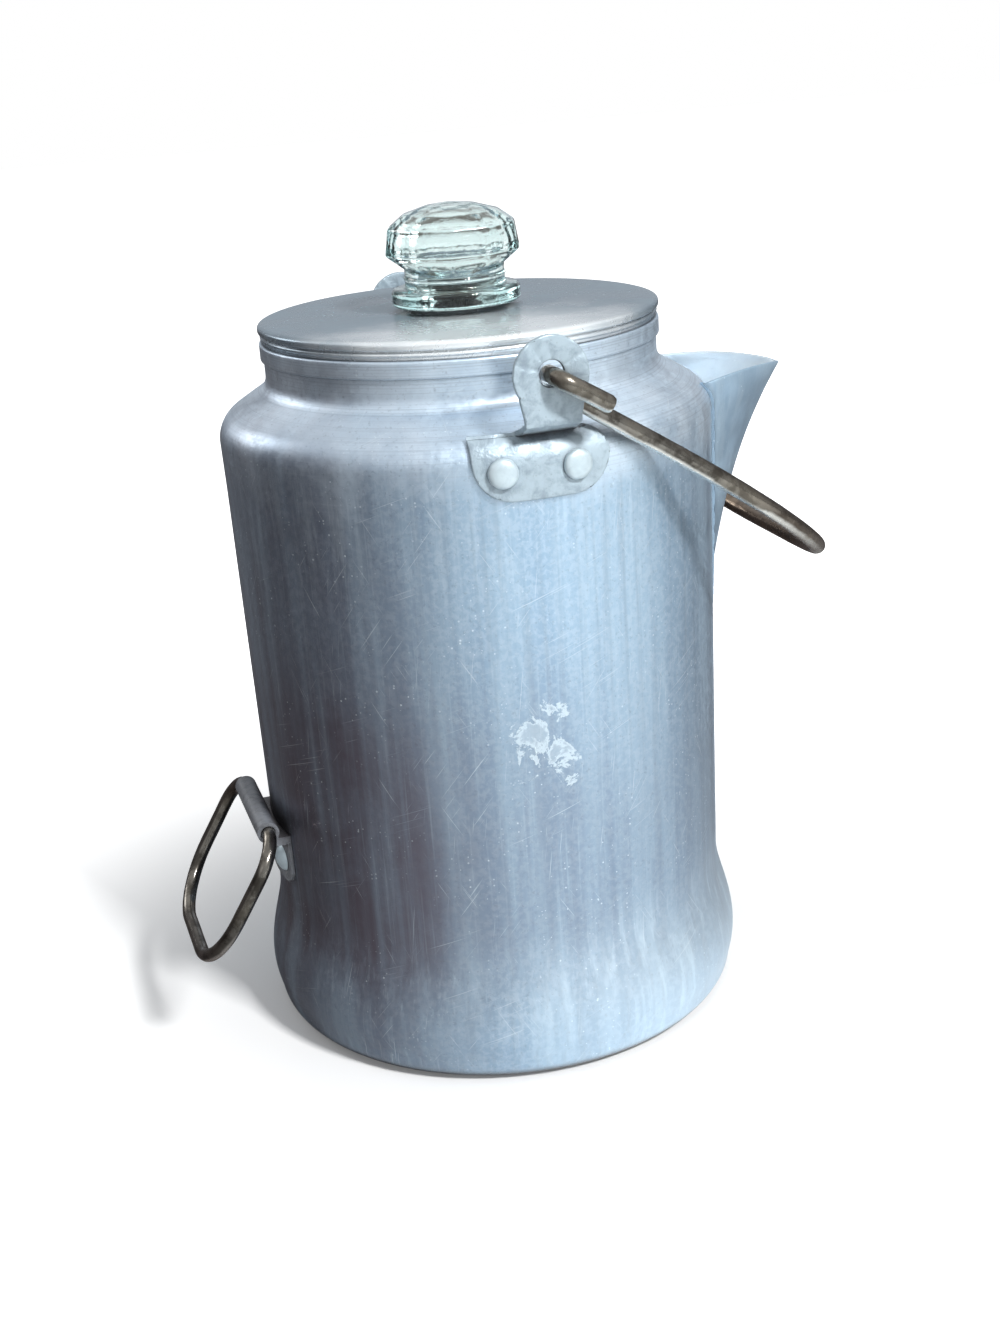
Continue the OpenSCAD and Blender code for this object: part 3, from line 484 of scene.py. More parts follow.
def body_finish():
    """Satin aluminium with painted light: a bluish highlight above and dull brown shade low at the
    back; with dried runs.
    """
    made, tree, shader = new_material("body_aluminium", {"Metallic": 0.82})
    place = object_place(tree)
    x, y, z = axes(tree, place)
    wide = streaked(tree, 0.015, 0.30, 0.38, 0.64)
    fine = streaked(tree, 0.0042, 0.20, 0.46, 0.74)
    thin = streaked(tree, 0.0016, 0.09, 0.52, 0.75)
    drips = streaked(tree, 0.0038, 0.05, 0.5, 0.68)
    cloud = clouded(tree, 0.035, 0.35, 0.68)
    grain = clouded(tree, 0.0022, 0.4, 0.64)
    pits = clouded(tree, 0.0012, 0.56, 0.7)
    hairs = placed(tree, hair_scratches, Radius=wall_top_r, Amount=0.45)
    lines = placed(tree, turning_lines, Pitch=0.0007)
    # Painted shade: dull brown towards the back on the left and in a band low on the wall. Painted
    # highlight: bright at the top, on the shoulder and neck
    leftward = maths(tree, "ADD", times(tree, x, -0.9), times(tree, y, -0.35))
    low = times(tree, ranged(tree, z, 0.19, 0.08), ranged(tree, z, 0.02, 0.06),
                ranged(tree, leftward, -0.03, 0.06, 0.32, 0.5))
    top = ranged(tree, scaled(tree, cloud, 0.012, z), 0.212, 0.238)
    wall_only = maths(tree, "SUBTRACT", 1.0, top)
    painted_dark_side = maths(tree, "MULTIPLY_ADD", ranged(tree, leftward, 0.045, 0.086), 0.72, low, clamp=True)
    painted_dark_side = times(tree, painted_dark_side, scaled(tree, wide, -0.3, 1.0), scaled(tree, cloud, 0.16, 0.84),
                    scaled(tree, top, -0.45, 1.0))
    colour = layered(tree, (0.28, 0.40, 0.53, 1), (wide, 0.55, (0.42, 0.56, 0.68, 1)),
                     # painted highlight on the shoulder and neck
                     (times(tree, top, scaled(tree, cloud, 0.4, 0.5)), 1, (0.68, 0.78, 0.88, 1)),
                     (grain, 0.3, (0.58, 0.69, 0.78, 1)), (pits, 0.35, (0.20, 0.25, 0.31, 1)),
                     # painted shade, dull brown, on the back-left side and low on the wall
                     (painted_dark_side, 1, (0.135, 0.12, 0.15, 1)),
                     (times(tree, fine, 0.34, wall_only), 1, (0.22, 0.27, 0.34, 1)),
                     (times(tree, thin, 0.18, wall_only), 1, (0.58, 0.70, 0.79, 1)),
                     (times(tree, ranged(tree, lines, 0.5, 0.62), top), 0.5, (0.36, 0.43, 0.51, 1)))
    # Painted reflection of the floor, pale, at the foot on the right; and dried runs at the foot and
    # under the shoulder, mostly on the right
    bright_side = ranged(tree, leftward, 0.085, -0.01)
    foot = times(tree, ranged(tree, z, 0.07, 0.02), bright_side)
    ends = maths(tree, "MAXIMUM", times(tree, ranged(tree, z, 0.075, 0.04), bright_side),
                 times(tree, ranged(tree, z, 0.16, 0.21), 0.5))
    runs = times(tree, drips, times(tree, ends, wall_only))
    # One splash of lime on the near side: a thin lacy crust, thicker at its edge
    spot = vector_maths(tree, "SUBTRACT", place, splash_place)
    reach = vector_maths(tree, "LENGTH", vector_maths(tree, "MULTIPLY", spot, (84, 84, 66)))
    ragged = noise_of(tree, place, 95.0, 7.0, 0.7, 0.45)
    crust = maths(tree, "SUBTRACT", ragged, times(tree, reach, 0.19))
    splash = times(tree, ranged(tree, crust, 0.39, 0.42), ranged(tree, crust, 0.43, 0.5, 1.0, 0.35))
    # first layer: painted reflection of the floor at the foot
    colour = layered(tree, colour, (foot, 0.34, (0.72, 0.80, 0.85, 1)),
                     (runs, 0.3, (0.70, 0.82, 0.90, 1)), (splash, 0.65, (0.72, 0.82, 0.87, 1)),
                     (specked(tree, 0.0013, 0.6), 1, (0.75, 0.84, 0.90, 1)),
                     (hairs, 1, (0.66, 0.74, 0.80, 1)))
    rough = scaled(tree, splash, 0.2, scaled(tree, grain, 0.10, scaled(tree, wide, 0.08, 0.31)))
    height = scaled(tree, grain, 0.3, scaled(tree, hairs, -0.5, times(tree, lines, 0.3)))
    # creases darkened: painted shade and dirt
    fill(tree, shader, {"Base Color": shaded_and_grimed(tree, colour, 0.85, 0.007), "Roughness": rough,
                        "Normal": bumped(tree, height, 0.22, 0.0002)})
    return made


body_metal = body_finish()
dress(body, body_metal)
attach(body, "pot")
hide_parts("body_shell")


# ---------------------------------------------------------------- spout
# One sheet of aluminium bent to a beak that is open on top, with its brim dressed round.
# Its flange and tongue lap the wall and are pressed and sealed on to it.
spout_tip_x = 123.7 * MM
spout_tip_z = shoulder_z + 5.5 * MM
spout_foot_z = spout_tip_z - 82 * MM
spout_t = 1.05 * MM
spout_foot_angle = 11
spout_brim_angle = 21.5
flange_angle = 3.5
flange_tongue = 6 * MM
brim_arch = 2.1 * MM
brim_rise = 1.5 * MM
nose_round = 0.12
seat_gap = 0.05 * MM


def spout_seat(z):
    """Radius of the flange's inner face, a little freer where the shoulder begins."""
    freer = 0 if z <= shoulder_z - 2 * MM else 2 * seat_gap
    return wall_radius(z) + seat_gap + freer


def spout_sheet(v, s, side, depth):
    """v runs from the foot to the brim, s from the nose to the wall, depth from out to in."""
    v = min(v, 1)
    brim = spout_tip_z + brim_rise * s + brim_arch * sind(180 * min(s, 1))
    z = spout_foot_z + v * (brim - spout_foot_z)
    root = spout_seat(z) + spout_t * (1 - depth)
    foot = spout_seat(spout_foot_z) + spout_t
    nose = foot + (spout_tip_x - foot) * (0.476 * math.sqrt(v) + 0.524 * v ** 2.6)
    nose = max(nose - depth * spout_t * (1 + 0.4 * min(1, 3 * v)), root)
    angle = spout_foot_angle + (spout_brim_angle - spout_foot_angle) * v
    if s > 1:
        angle += flange_angle * (s - 1)
        radius = root
    else:
        blunt = math.sqrt(s * s + nose_round ** 2) - nose_round
        radius = root + (nose - root) * (1 - blunt / (math.sqrt(1 + nose_round ** 2) - nose_round))
        angle = (angle - depth * 0.75) * s
    return Vector((radius * cosd(side * angle), radius * sind(side * angle), z))


def tongue_sheet(share, across, depth):
    """The end of the tongue under the spout; across runs from -1 to 1."""
    z = spout_foot_z - flange_tongue * share
    half = (spout_foot_angle + flange_angle) * math.sqrt(1 - 0.6 * share * share)
    radius = spout_seat(z) + spout_t * (1 - depth)
    return Vector((radius * cosd(half * across), radius * sind(half * across), z))


spout_columns = [(2 - k * 0.25, -1) for k in range(4)] + [(1 - k / 22, -1) for k in range(22)]
spout_columns += [(0, 1)] + [(s, 1) for s, _ in spout_columns[::-1]]
spout_levels = [(i / 30) ** 1.5 * 0.5 for i in range(22)]
spout_levels += [spout_levels[-1] + (1 - spout_levels[-1]) * i / 30 for i in range(1, 31)]


def spout_face(depth):
    """Rows of points on one face of the sheet, from the tongue's end up to the brim."""
    last = len(spout_columns) - 1
    rows = [[tongue_sheet(share, 2 * k / last - 1, depth) for k in range(last + 1)]
            for share in (1, 0.9, 0.75, 0.55, 0.3)]
    rows += [[spout_sheet(v, s, side, depth) for s, side in spout_columns] for v in spout_levels]
    return rows


outer, inner = spout_face(0), spout_face(1)
brim_rows = []
for k in range(1, 8):
    turn = math.pi * k / 8
    depth = 0.5 - 0.5 * math.cos(turn)
    lift = Vector((0, 0, spout_t * 0.55 * math.sin(turn)))
    brim_rows.append([a.lerp(b, depth) + lift for a, b in zip(outer[-1], inner[-1])])
loop = outer + brim_rows + inner[::-1]
vertices = [p for row in loop for p in row]
count, rows = len(spout_columns), len(loop)
faces = [(j * count + i, j * count + i + 1, (j + 1) % rows * count + i + 1, (j + 1) % rows * count + i)
         for j in range(rows) for i in range(count - 1)]
for edge in (0, count - 1):
    for j in range(len(outer) + 3):
        a, b = j * count + edge, (rows - 1 - j) * count + edge
        quad = (a, b, b - count, a + count) if edge == 0 else (a, a + count, b - count, b)
        faces.append(quad)
spout = piece_from("spout", vertices, faces, 50)
spout_bevel = spout.modifiers.new("worn_edge", "BEVEL")
spout_bevel.width = 0.25 * MM
spout_bevel.segments = 2
spout_bevel.limit_method = "ANGLE"
spout_bevel.angle_limit = math.radians(50)


def spout_finish(name, clean, pale):
    """The same metal as the body, a little more worn."""
    made, tree, shader = new_material(name, {"Metallic": 0.66})
    cloud = clouded(tree, 0.014, 0.35, 0.68)
    colour = layered(tree, clean, (cloud, 0.5, pale),
                     (streaked(tree, 0.007, 0.05, 0.42, 0.7), 0.24, (0.62, 0.74, 0.80, 1)),
                     (specked(tree, 0.0014, 0.5), 1, (0.78, 0.87, 0.92, 1)))
    # creases darkened: painted shade and dirt
    fill(tree, shader, {"Base Color": shaded_and_grimed(tree, colour, 0.6, 0.004),
                        "Roughness": scaled(tree, cloud, 0.12, 0.36),
                        "Normal": bumped(tree, cloud, 0.3, 0.0003)})
    return made


dress(spout, spout_finish("spout_aluminium", (0.27, 0.385, 0.50, 1), (0.40, 0.535, 0.66, 1)))
# A paler copy of the spout's metal for its inside faces: painted light, where the inside is lit
lit_inside_metal = spout_finish("spout_inside_painted_lit", (0.56, 0.64, 0.70, 1), (0.72, 0.79, 0.83, 1))
spout.data.materials.append(lit_inside_metal)
for index, face in enumerate(spout.data.polygons):
    row = index // (count - 1)
    face.material_index = 1 if len(outer) + 4 <= row < rows - 1 else 0
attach(spout, "pot")
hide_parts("spout")


# ---------------------------------------------------------------- ears and their rivets
# Each ear is stamped from 1.8 mm sheet: a plate shaped to the wall, a neck that steps out and
# a round head with the hole for the bail. Two domed rivets through the wall hold each ear.
ear_t = 1.8 * MM
ear_plate_w = 23 * MM
ear_z0 = shoulder_z - 10.3 * MM
ear_turn = 48
ear_z1 = shoulder_z + shoulder_edge_r * sind(ear_turn) + 1 * MM
ear_corner_r = 13 * MM
ear_front_corner_r = 9 * MM
ear_head_r = 12.5 * MM
ear_neck_w = 9.3 * MM
ear_neck_z = shoulder_z + 14 * MM
ear_offset = 2.6 * MM
bail_z = shoulder_z + 29.5 * MM
ear_mid = wall_top_r + seat_gap + ear_t / 2 + 4 * MM
bail_r = 2.95 * MM
hole_r = bail_r + 1.3 * MM
ear_grid = 1.6 * MM
ear_worn = 0.45 * MM
ear_edge_rings = [(0.45, 0.28 / 0.45), (0.3, 1), (-0.3, 1), (-0.45, 0.28 / 0.45)]
hole_z = bail_z + 0.5 * MM
rivet_turns = (-8.8, 7)
ear_rivet_z = shoulder_z - 0.5 * MM
rivet_head_r = 5 * MM
rivet_head_h = 2.6 * MM


def ear_outline():
    """The blank seen from outside, anticlockwise from the lower left; the spout is to the right."""
    w, f = ear_plate_w, ear_front_corner_r
    line = arc(-w + ear_corner_r, ear_z0 + ear_corner_r, ear_corner_r, 180, 270, 16)
    line += arc(w - ear_corner_r, ear_z0 + ear_corner_r, ear_corner_r, 270, 360, 16)
    line += arc(w - f, ear_z1 - f + 1 * MM, f, 0, 90, 14)
    neck_foot = ear_z1 + 1.2 * MM
    line += [(ear_offset + ear_neck_w + 2.2 * MM, ear_z1 + 1 * MM)]
    line += arc(ear_offset + ear_neck_w + 2.2 * MM, neck_foot + 2 * MM, 2.2 * MM, 270, 190, 6)
    line += [(ear_offset + ear_neck_w + 0.2 * MM, ear_neck_z + 2 * MM)]
    line += arc(ear_offset, bail_z, ear_head_r, -28, 208, 60)
    line += [(ear_offset - ear_neck_w - 0.2 * MM, ear_neck_z + 2 * MM)]
    line += arc(ear_offset - ear_neck_w - 2.2 * MM, neck_foot + 2 * MM, 2.2 * MM, -10, -90, 6)
    line += [(-w, ear_z1 + 1 * MM)]
    return line


def ear_middle(u, z):
    """Distance of the sheet's middle from the pot's axis plane at a point of the blank."""
    reach = shoulder_edge_r + seat_gap + ear_t / 2
    if z <= shoulder_z:
        lean = (wall_top_r - waist_r) / (shoulder_z - waist_z)
        r = wall_top_r + seat_gap + ear_t / 2 - lean * (shoulder_z - z)
    else:
        rise = min((z - shoulder_z) / reach, sind(ear_turn + 4))
        r = edge_x + reach * math.sqrt(1 - rise * rise)
    plate = math.sqrt(r * r - u * u)
    foot = ear_z1 + 0.2 * MM
    share = min(1, max(0, (z - foot) / (ear_neck_z + 0.6 * MM - foot)))
    share = share * share * (3 - 2 * share)
    return plate + (ear_mid - plate) * share


def ear_point(u, z, depth):
    """A point of the sheet: depth is -0.5 on the inner face and 0.5 on the outer face."""
    step = 0.1 * MM
    along = Vector((ear_middle(u, z + step) - ear_middle(u, z - step), 0, 2 * step))
    across = Vector((ear_middle(u + step, z) - ear_middle(u - step, z), 2 * step, 0))
    out = across.cross(along).normalized()
    hammered = 0.0
    head = math.hypot(u - ear_offset, z - bail_z)
    if head < ear_head_r * 1.05 and z > bail_z - 4 * MM:
        turn = math.atan2(z - bail_z, u - ear_offset)
        crease = sum(math.exp(-((turn - a) / 0.11) ** 2) for a in (0.55, 1.05, 1.6, 2.15, 2.75))
        fade = min(1, max(0, (head - hole_r) / (2 * MM)))
        hammered = -0.28 * MM * crease * fade + 0.1 * MM * noise.noise(Vector((u, z, 0.3)) * 300)
    middle = Vector((ear_middle(u, z), u, z))
    return middle + out * (ear_t * depth + hammered)


def ear_mesh(name, side):
    """The blank is filled with a fine grid, given its thickness with worn edges, and bent."""
    flat = bmesh.new()
    rim = [flat.verts.new((u, z, 0)) for u, z in ear_outline()]
    hole = [flat.verts.new((u, z, 0)) for u, z in arc(ear_offset, hole_z, hole_r, 0, 350, 35)]
    edges = [flat.edges.new((ring[k], ring[(k + 1) % len(ring)])) for ring in (rim, hole)
             for k in range(len(ring))]
    bmesh.ops.triangle_fill(flat, use_beauty=True, edges=edges)
    for axis, low, high in ((0, -ear_plate_w, ear_plate_w), (1, ear_z0, bail_z + ear_head_r)):
        steps = int((high - low) / ear_grid)
        for k in range(1, steps):
            place, normal = [0, 0, 0], [0, 0, 0]
            place[axis], normal[axis] = low + (high - low) * k / steps, 1
            everything = flat.verts[:] + flat.edges[:] + flat.faces[:]
            bmesh.ops.bisect_plane(flat, geom=everything, plane_co=place, plane_no=normal)
    bmesh.ops.recalc_face_normals(flat, faces=flat.faces)
    if flat.faces[0].normal.z < 0:
        bmesh.ops.reverse_faces(flat, faces=flat.faces)
    upper = list(flat.faces)
    copy = bmesh.ops.duplicate(flat, geom=flat.verts[:] + flat.edges[:] + flat.faces[:])
    lower = [f for f in copy["geom"] if isinstance(f, bmesh.types.BMFace)]
    twins = {a: b for a, b in copy["vert_map"].items() if isinstance(a, bmesh.types.BMVert)}
    border = [e for f in upper for e in f.edges if len(e.link_faces) == 1]
    bmesh.ops.reverse_faces(flat, faces=lower)
    depth_of = {v: 0.5 for f in upper for v in f.verts}
    depth_of.update({v: -0.5 for f in lower for v in f.verts})
    push = {}
    for e in border:
        out = (e.verts[1].co - e.verts[0].co).normalized().cross(Vector((0, 0, 1)))
        if out.dot(e.verts[0].co - e.link_faces[0].calc_center_median()) < 0:
            out = -out
        for v in e.verts:
            push[v] = push.get(v, Vector()) + out
    # Rings of points from the upper face over the worn edge to the lower face
    walls = {}
    for v, out in push.items():
        out = out.normalized() * ear_worn
        shrunk = v.co - out
        walls[v] = [v]
        for depth, grown in ear_edge_rings:
            fresh = flat.verts.new(shrunk + out * grown)
            depth_of[fresh] = depth
            walls[v].append(fresh)
        walls[v].append(twins[v])
        v.co = twins[v].co = shrunk
    for e in border:
        loop = next(l for l in e.link_faces[0].loops if l.edge == e)
        a, b = walls[loop.vert], walls[loop.link_loop_next.vert]
        for k in range(len(a) - 1):
            flat.faces.new((b[k], a[k], a[k + 1], b[k + 1]))
    for v in flat.verts:
        turned = Matrix.Rotation(-math.pi / 2, 4, "Z") @ ear_point(v.co.x, v.co.y, depth_of[v])
        v.co = turned if side < 0 else Vector((turned.x, -turned.y, turned.z))
    bmesh.ops.recalc_face_normals(flat, faces=flat.faces)
    mesh = bpy.data.meshes.new(name)
    flat.to_mesh(mesh)
    flat.free()
    mesh.shade_smooth()
    mesh.set_sharp_from_angle(angle=math.radians(40))
    return new_object(name, mesh)


def rivet_dome(name, seat_x, turn, height):
    """A closed dome that sits on a plate, its foot turned by an angle round the pot."""
    line = eased([(0, -1.2 * MM, 0), (rivet_head_r * 0.9, -1.2 * MM, 0.2),
                  (rivet_head_r, 0.35 * MM, 0.4)], 4)
    line += [(rivet_head_r * cosd(a) ** 0.8, 0.5 * MM + (rivet_head_h - 0.5 * MM) * sind(a) ** 0.9)
             for a in (8, 18, 28, 38, 48, 58, 68, 78)] + [(0, rivet_head_h)]
    dome = lathe(name, line, 40, closed=False, smooth_under=60)
    for vertex in dome.data.vertices:
        wobble = 0.12 * MM * noise.noise(vertex.co * 500 + Vector((turn, 0, 0)))
        vertex.co += vertex.co.normalized() * wobble
    place = Matrix.Rotation(math.radians(turn), 4, "Z") @ Matrix.Translation((seat_x, 0, height))
    dome.data.transform(place @ Matrix.Rotation(math.pi / 2, 4, "Y"))
    return dome


def joined(name, pieces):
    """Joins several small solids of one kind into one piece."""
    together = bmesh.new()
    for piece in pieces:
        together.from_mesh(piece.data)
        bpy.data.objects.remove(piece)
    mesh = bpy.data.meshes.new(name)
    together.to_mesh(mesh)
    together.free()
    return new_object(name, mesh)


def ear_finish(name, clean, dull, bright):
    """Thicker sheet than the body, dulled in spots, with small dark pits."""
    made, tree, shader = new_material(name, {"Metallic": 0.22})
    cloud = clouded(tree, 0.0045, 0.4, 0.72)
    colour = layered(tree, clean, (cloud, 0.65, dull), (clouded(tree, 0.018, 0.4, 0.7), 0.3, bright),
                     (specked(tree, 0.001, 0.6), 1, (0.26, 0.31, 0.34, 1)))
    # deep, wide crease darkening: painted shadow of the bail's hook on the ear's neck, and dirt in the
    # ear's creases
    fill(tree, shader, {"Base Color": shaded_and_grimed(tree, colour, 0.95, 0.013),
                        "Roughness": scaled(tree, cloud, 0.12, 0.4),
                        "Normal": bumped(tree, cloud, 0.5, 0.0003)})
    return made


def plain_finish(name, metallic, size, share, clean, dull, rough):
    """Plain aluminium with soft clouds of a duller colour."""
    made, tree, shader = new_material(name, {"Metallic": metallic})
    cloud = clouded(tree, size, 0.35, 0.65)
    fill(tree, shader, {"Base Color": layered(tree, clean, (cloud, share, dull)),
                        "Roughness": scaled(tree, cloud, *rough)})
    return made


ear_metal = ear_finish("ear_aluminium",
                       (0.37, 0.46, 0.52, 1), (0.16, 0.21, 0.26, 1), (0.47, 0.57, 0.63, 1))
rivet_metal = plain_finish("rivet_aluminium", 0.4, 0.004, 0.5,
                           (0.54, 0.64, 0.69, 1), (0.40, 0.49, 0.54, 1), (0.1, 0.36))
for label, side in (("right", -1), ("left", 1)):
    ear = ear_mesh(label + "_ear_sheet", side)
    dress(ear, ear_metal)
    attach(ear, "pot")
    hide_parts(label + "_ear")
    seat_x = wall_top_r + seat_gap + ear_t + 0.1 * MM
    domes = [rivet_dome("dome", seat_x, side * (90 - turn), ear_rivet_z) for turn in rivet_turns]
    pair = joined(label + "_ear_rivet_domes", domes)
    dress(pair, rivet_metal)
    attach(pair, "pot")
    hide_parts(label + "_ear_rivets")


# ---------------------------------------------------------------- tilt bracket and its rivets
# A sheet riveted low on the back of the wall; its top edge is rolled into a hinge barrel.
# It keeps the shape it has in the frame, and is darker than the ears.
bracket_metal = ear_finish("bracket_aluminium",
                           (0.17, 0.18, 0.20, 1), (0.07, 0.07, 0.075, 1), (0.30, 0.33, 0.36, 1))
dress(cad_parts["tilt_bracket"], bracket_metal)
dress(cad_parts["tilt_bracket_rivets"], rivet_metal)


# ---------------------------------------------------------------- bail
# One steel wire: a wide bow whose ends bend out through the ears and turn back in short tails.
# The wire is worn, with brown heat marks towards the grip.
bail_l = 147.5 * MM
bail_corner_r = 70 * MM
bail_rest = 37
hook_bend_r = 5.5 * MM
hook_tail = 20.5 * MM
hook_gap = 0.3 * MM
tail_splay = 5.5
hook_set = 4 * MM
bow_rise = 3 * MM
bow_lift = 2
leg_y = ear_mid - ear_t / 2 - hook_gap - hook_bend_r
tail_y = ear_mid + ear_t / 2 + hook_gap + hook_bend_r


def tube(name, path, radius, sides=28, wobble=0.0, cap=0.35):
    """Sweeps a round wire along a path of points, with softly cut ends or closed on itself."""
    count = len(path)
    tangents = []
    for i in range(count):
        a, b = path[max(0, i - 1)], path[min(count - 1, i + 1)]
        tangents.append((b - a).normalized())
    up = Vector((0.13, 0.21, 0.97))
    vertices, faces = [], []

    def ring(centre, tangent, r, shift=0.0):
        nonlocal up
        up = (up - tangent * up.dot(tangent)).normalized()
        other = tangent.cross(up)
        for k in range(sides):
            a = 2 * math.pi * k / sides
            spot = centre + tangent * shift
            lump = 1 + wobble * noise.noise(spot * 420 + Vector((math.cos(a), math.sin(a), 0)) * 0.9)
            vertices.append(spot + (up * math.cos(a) + other * math.sin(a)) * r * lump)

    ring(path[0], tangents[0], radius * 0.55, 0)
    ring(path[0], tangents[0], radius * 0.86, radius * cap * 0.35)
    for centre, tangent in zip(path[1:-1], tangents[1:-1]):
        ring(centre, tangent, radius)
    ring(path[-1], tangents[-1], radius * 0.86, -radius * cap * 0.35)
    ring(path[-1], tangents[-1], radius * 0.55, 0)
    rings = len(vertices) // sides
    for j in range(rings - 1):
        for k in range(sides):
            n = (k + 1) % sides
            faces.append((j * sides + k, j * sides + n, (j + 1) * sides + n, (j + 1) * sides + k))
    faces.append(tuple(range(sides))[::-1])
    faces.append(tuple((rings - 1) * sides + k for k in range(sides)))
    return piece_from(name, vertices, faces, 40)


def line_points(start, end, step):
    """Points on a straight line in the plane of a wire, without its end."""
    start, end = Vector((*start, 0)), Vector((*end, 0))
    steps = max(1, int((end - start).length / step))
    return [start.lerp(end, k / steps) for k in range(steps)]


def bend_points(x, y, r, start, end, steps):
    return [Vector((px, py, 0)) for px, py in arc(x, y, r, start, end, steps)][:-1]


def bail_path():
    """From one tail to the other, in the plane of the bail: X away from the hinge, Y along it."""
    tail_turn = Matrix.Rotation(math.radians(-tail_splay), 3, "Y")
    tail = line_points((hook_tail, tail_y), (hook_bend_r, tail_y), 1.5 * MM)
    tail += bend_points(hook_bend_r, tail_y - hook_bend_r, hook_bend_r, 90, 180, 10)
    half = [tail_turn @ p for p in tail]
    half += line_points((0, tail_y - hook_bend_r), (0, leg_y + hook_bend_r), 1 * MM)
    half += bend_points(hook_bend_r, leg_y + hook_bend_r, hook_bend_r, 180, 270, 10)
    half += line_points((hook_bend_r, leg_y), (bail_l - bail_corner_r, leg_y), 3 * MM)
    half += bend_points(bail_l - bail_corner_r, leg_y - bail_corner_r, bail_corner_r, 90, 0, 40)
    half += line_points((bail_l, leg_y - bail_corner_r), (bail_l, 0), 3 * MM)
    return half + [Vector((bail_l, 0, 0))] + [Vector((p.x, -p.y, p.z)) for p in half[::-1]]


bail_place = Matrix.Translation((ear_offset, 0, bail_z))
bail_place = bail_place @ Matrix.Rotation(math.radians(bail_rest), 4, "Y")
bail_points = []
for p in bail_path():
    bent = p.copy()
    if abs(p.y) < (leg_y + tail_y) / 2 and p.x > 0:
        # Years of use have set the legs low at the hooks and bowed them upwards
        bent.z += math.tan(math.radians(bow_lift)) * p.x - hook_set * (1 - math.exp(-p.x / (8 * MM)))
        bent.z += bow_rise * math.sin(math.pi * min(1, p.x / bail_l))
        bent.y += 0.5 * MM * noise.noise(p * 22)
    bail_points.append(bail_place @ bent)
bail = tube("bail_wire", bail_points, bail_r, 32, wobble=0.02)


def wire_finish():
    """Steel worn to grey-gold, browned by heat away from the hooks, with fine pits and a painted
    highlight along the lower side.
    """
    made, tree, shader = new_material("wire_steel", {"Metallic": 1.0})
    cloud = clouded(tree, 0.006, 0.38, 0.62)
    broad = clouded(tree, 0.03, 0.4, 0.62)
    heat = ranged(tree, axes(tree, object_place(tree))[0], 0.055, 0.12)
    browned = layered(tree, (0.20, 0.15, 0.11, 1), (cloud, 0.6, (0.08, 0.06, 0.05, 1)))
    # Painted highlight: bright along the lower side, where the wire mirrors the pale table
    upward = axes(tree, add(tree, "TexCoord").outputs["Normal"])[2]
    underside_highlight = times(tree, ranged(tree, scaled(tree, broad, 0.25, upward), -0.25, -0.6),
                 scaled(tree, heat, -0.35, 0.9))
    colour = layered(tree, (0.16, 0.15, 0.135, 1), (cloud, 0.85, (0.03, 0.026, 0.022, 1)),
                     (broad, 0.3, (0.30, 0.27, 0.22, 1)), (heat, 0.75, browned),
                     (specked(tree, 0.0012, 0.9), 1, (0.10, 0.08, 0.06, 1)),
                     # painted highlight along the lower side
                     (underside_highlight, 1, (0.80, 0.78, 0.73, 1)))
    fill(tree, shader, {"Base Color": colour, "Roughness": scaled(tree, cloud, 0.16, 0.18),
                        "Normal": bumped(tree, broad, 0.2, 0.0002)})
    return made


wire_metal = wire_finish()
dress(bail, wire_metal)
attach(bail, "bail")
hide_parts("bail_handle")


# ---------------------------------------------------------------- tilting loop
# A small closed loop of the same wire, hung in the rolled barrel, for tipping the pot.
# It rests slanting outwards and down, and its sides are a little bent.
loop_r = 2.5 * MM
barrel_z = 85.6 * MM
barrel_half = 24 * MM
barrel_x = wall_radius(barrel_z) + 2 * MM + loop_r + 0.2 * MM + 1.3 * MM
loop_l = 54 * MM
loop_corner_r = 24 * MM
loop_bend_r = 13 * MM
loop_rest = 58
loop_half = barrel_half + hook_gap + loop_bend_r
loop_overlap = 0.01 * MM


def loop_path():
    """Half the loop, from the middle of the barrel to the middle of the grip, and its mirror."""
    half = line_points((0, 0), (0, loop_half - loop_bend_r), 3 * MM)
    half += bend_points(loop_bend_r, loop_half - loop_bend_r, loop_bend_r, 180, 90, 10)
    half += line_points((loop_bend_r, loop_half), (loop_l - loop_corner_r, loop_half), 2.5 * MM)
    half += bend_points(loop_l - loop_corner_r, loop_half - loop_corner_r, loop_corner_r, 90, 0, 20)
    half += line_points((loop_l, loop_half - loop_corner_r), (loop_l, 0), 3 * MM)
    other = [Vector((p.x, -p.y, p.z)) for p in half[:0:-1]]
    return half + [Vector((loop_l, 0, 0))] + other + [Vector((0, -loop_overlap, 0))]


loop_place = Matrix.Translation((-barrel_x, 0, barrel_z))
loop_place = loop_place @ Matrix.Rotation(math.radians(180 - loop_rest), 4, "Y")
loop_place = loop_place @ Matrix.Rotation(math.pi, 4, "X")
loop_points = []
for p in loop_path():
    along, across = noise.noise(p * 35 + Vector((0, 3, 0))), noise.noise(p * 35)
    sway = Vector((0.5 * MM * along, 0.4 * MM * across, 0))
    loop_points.append(loop_place @ (p + sway * min(1, p.x / (20 * MM))))
tilt_loop = tube("tilt_loop_wire", loop_points, loop_r, 28, wobble=0.02, cap=0.0)
# The same wire finish, with its painted highlight along the lower side
dress(tilt_loop, wire_metal)
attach(tilt_loop, "tilt_loop")
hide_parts("tilt_handle")


# ---------------------------------------------------------------- lid
# Pressed aluminium: a flat top with a raised seat for the knob, a beaded edge over the rim
# and a skirt that plugs into the neck.
lid_r = 71 * MM
lid_t = 1.1 * MM
lid_top = rim_z + 6.4 * MM
lid_fit = 0.4 * MM
knob_seat_r = 17.5 * MM
knob_neck_r = 13.2 * MM
seat_top = lid_top + 1.7 * MM


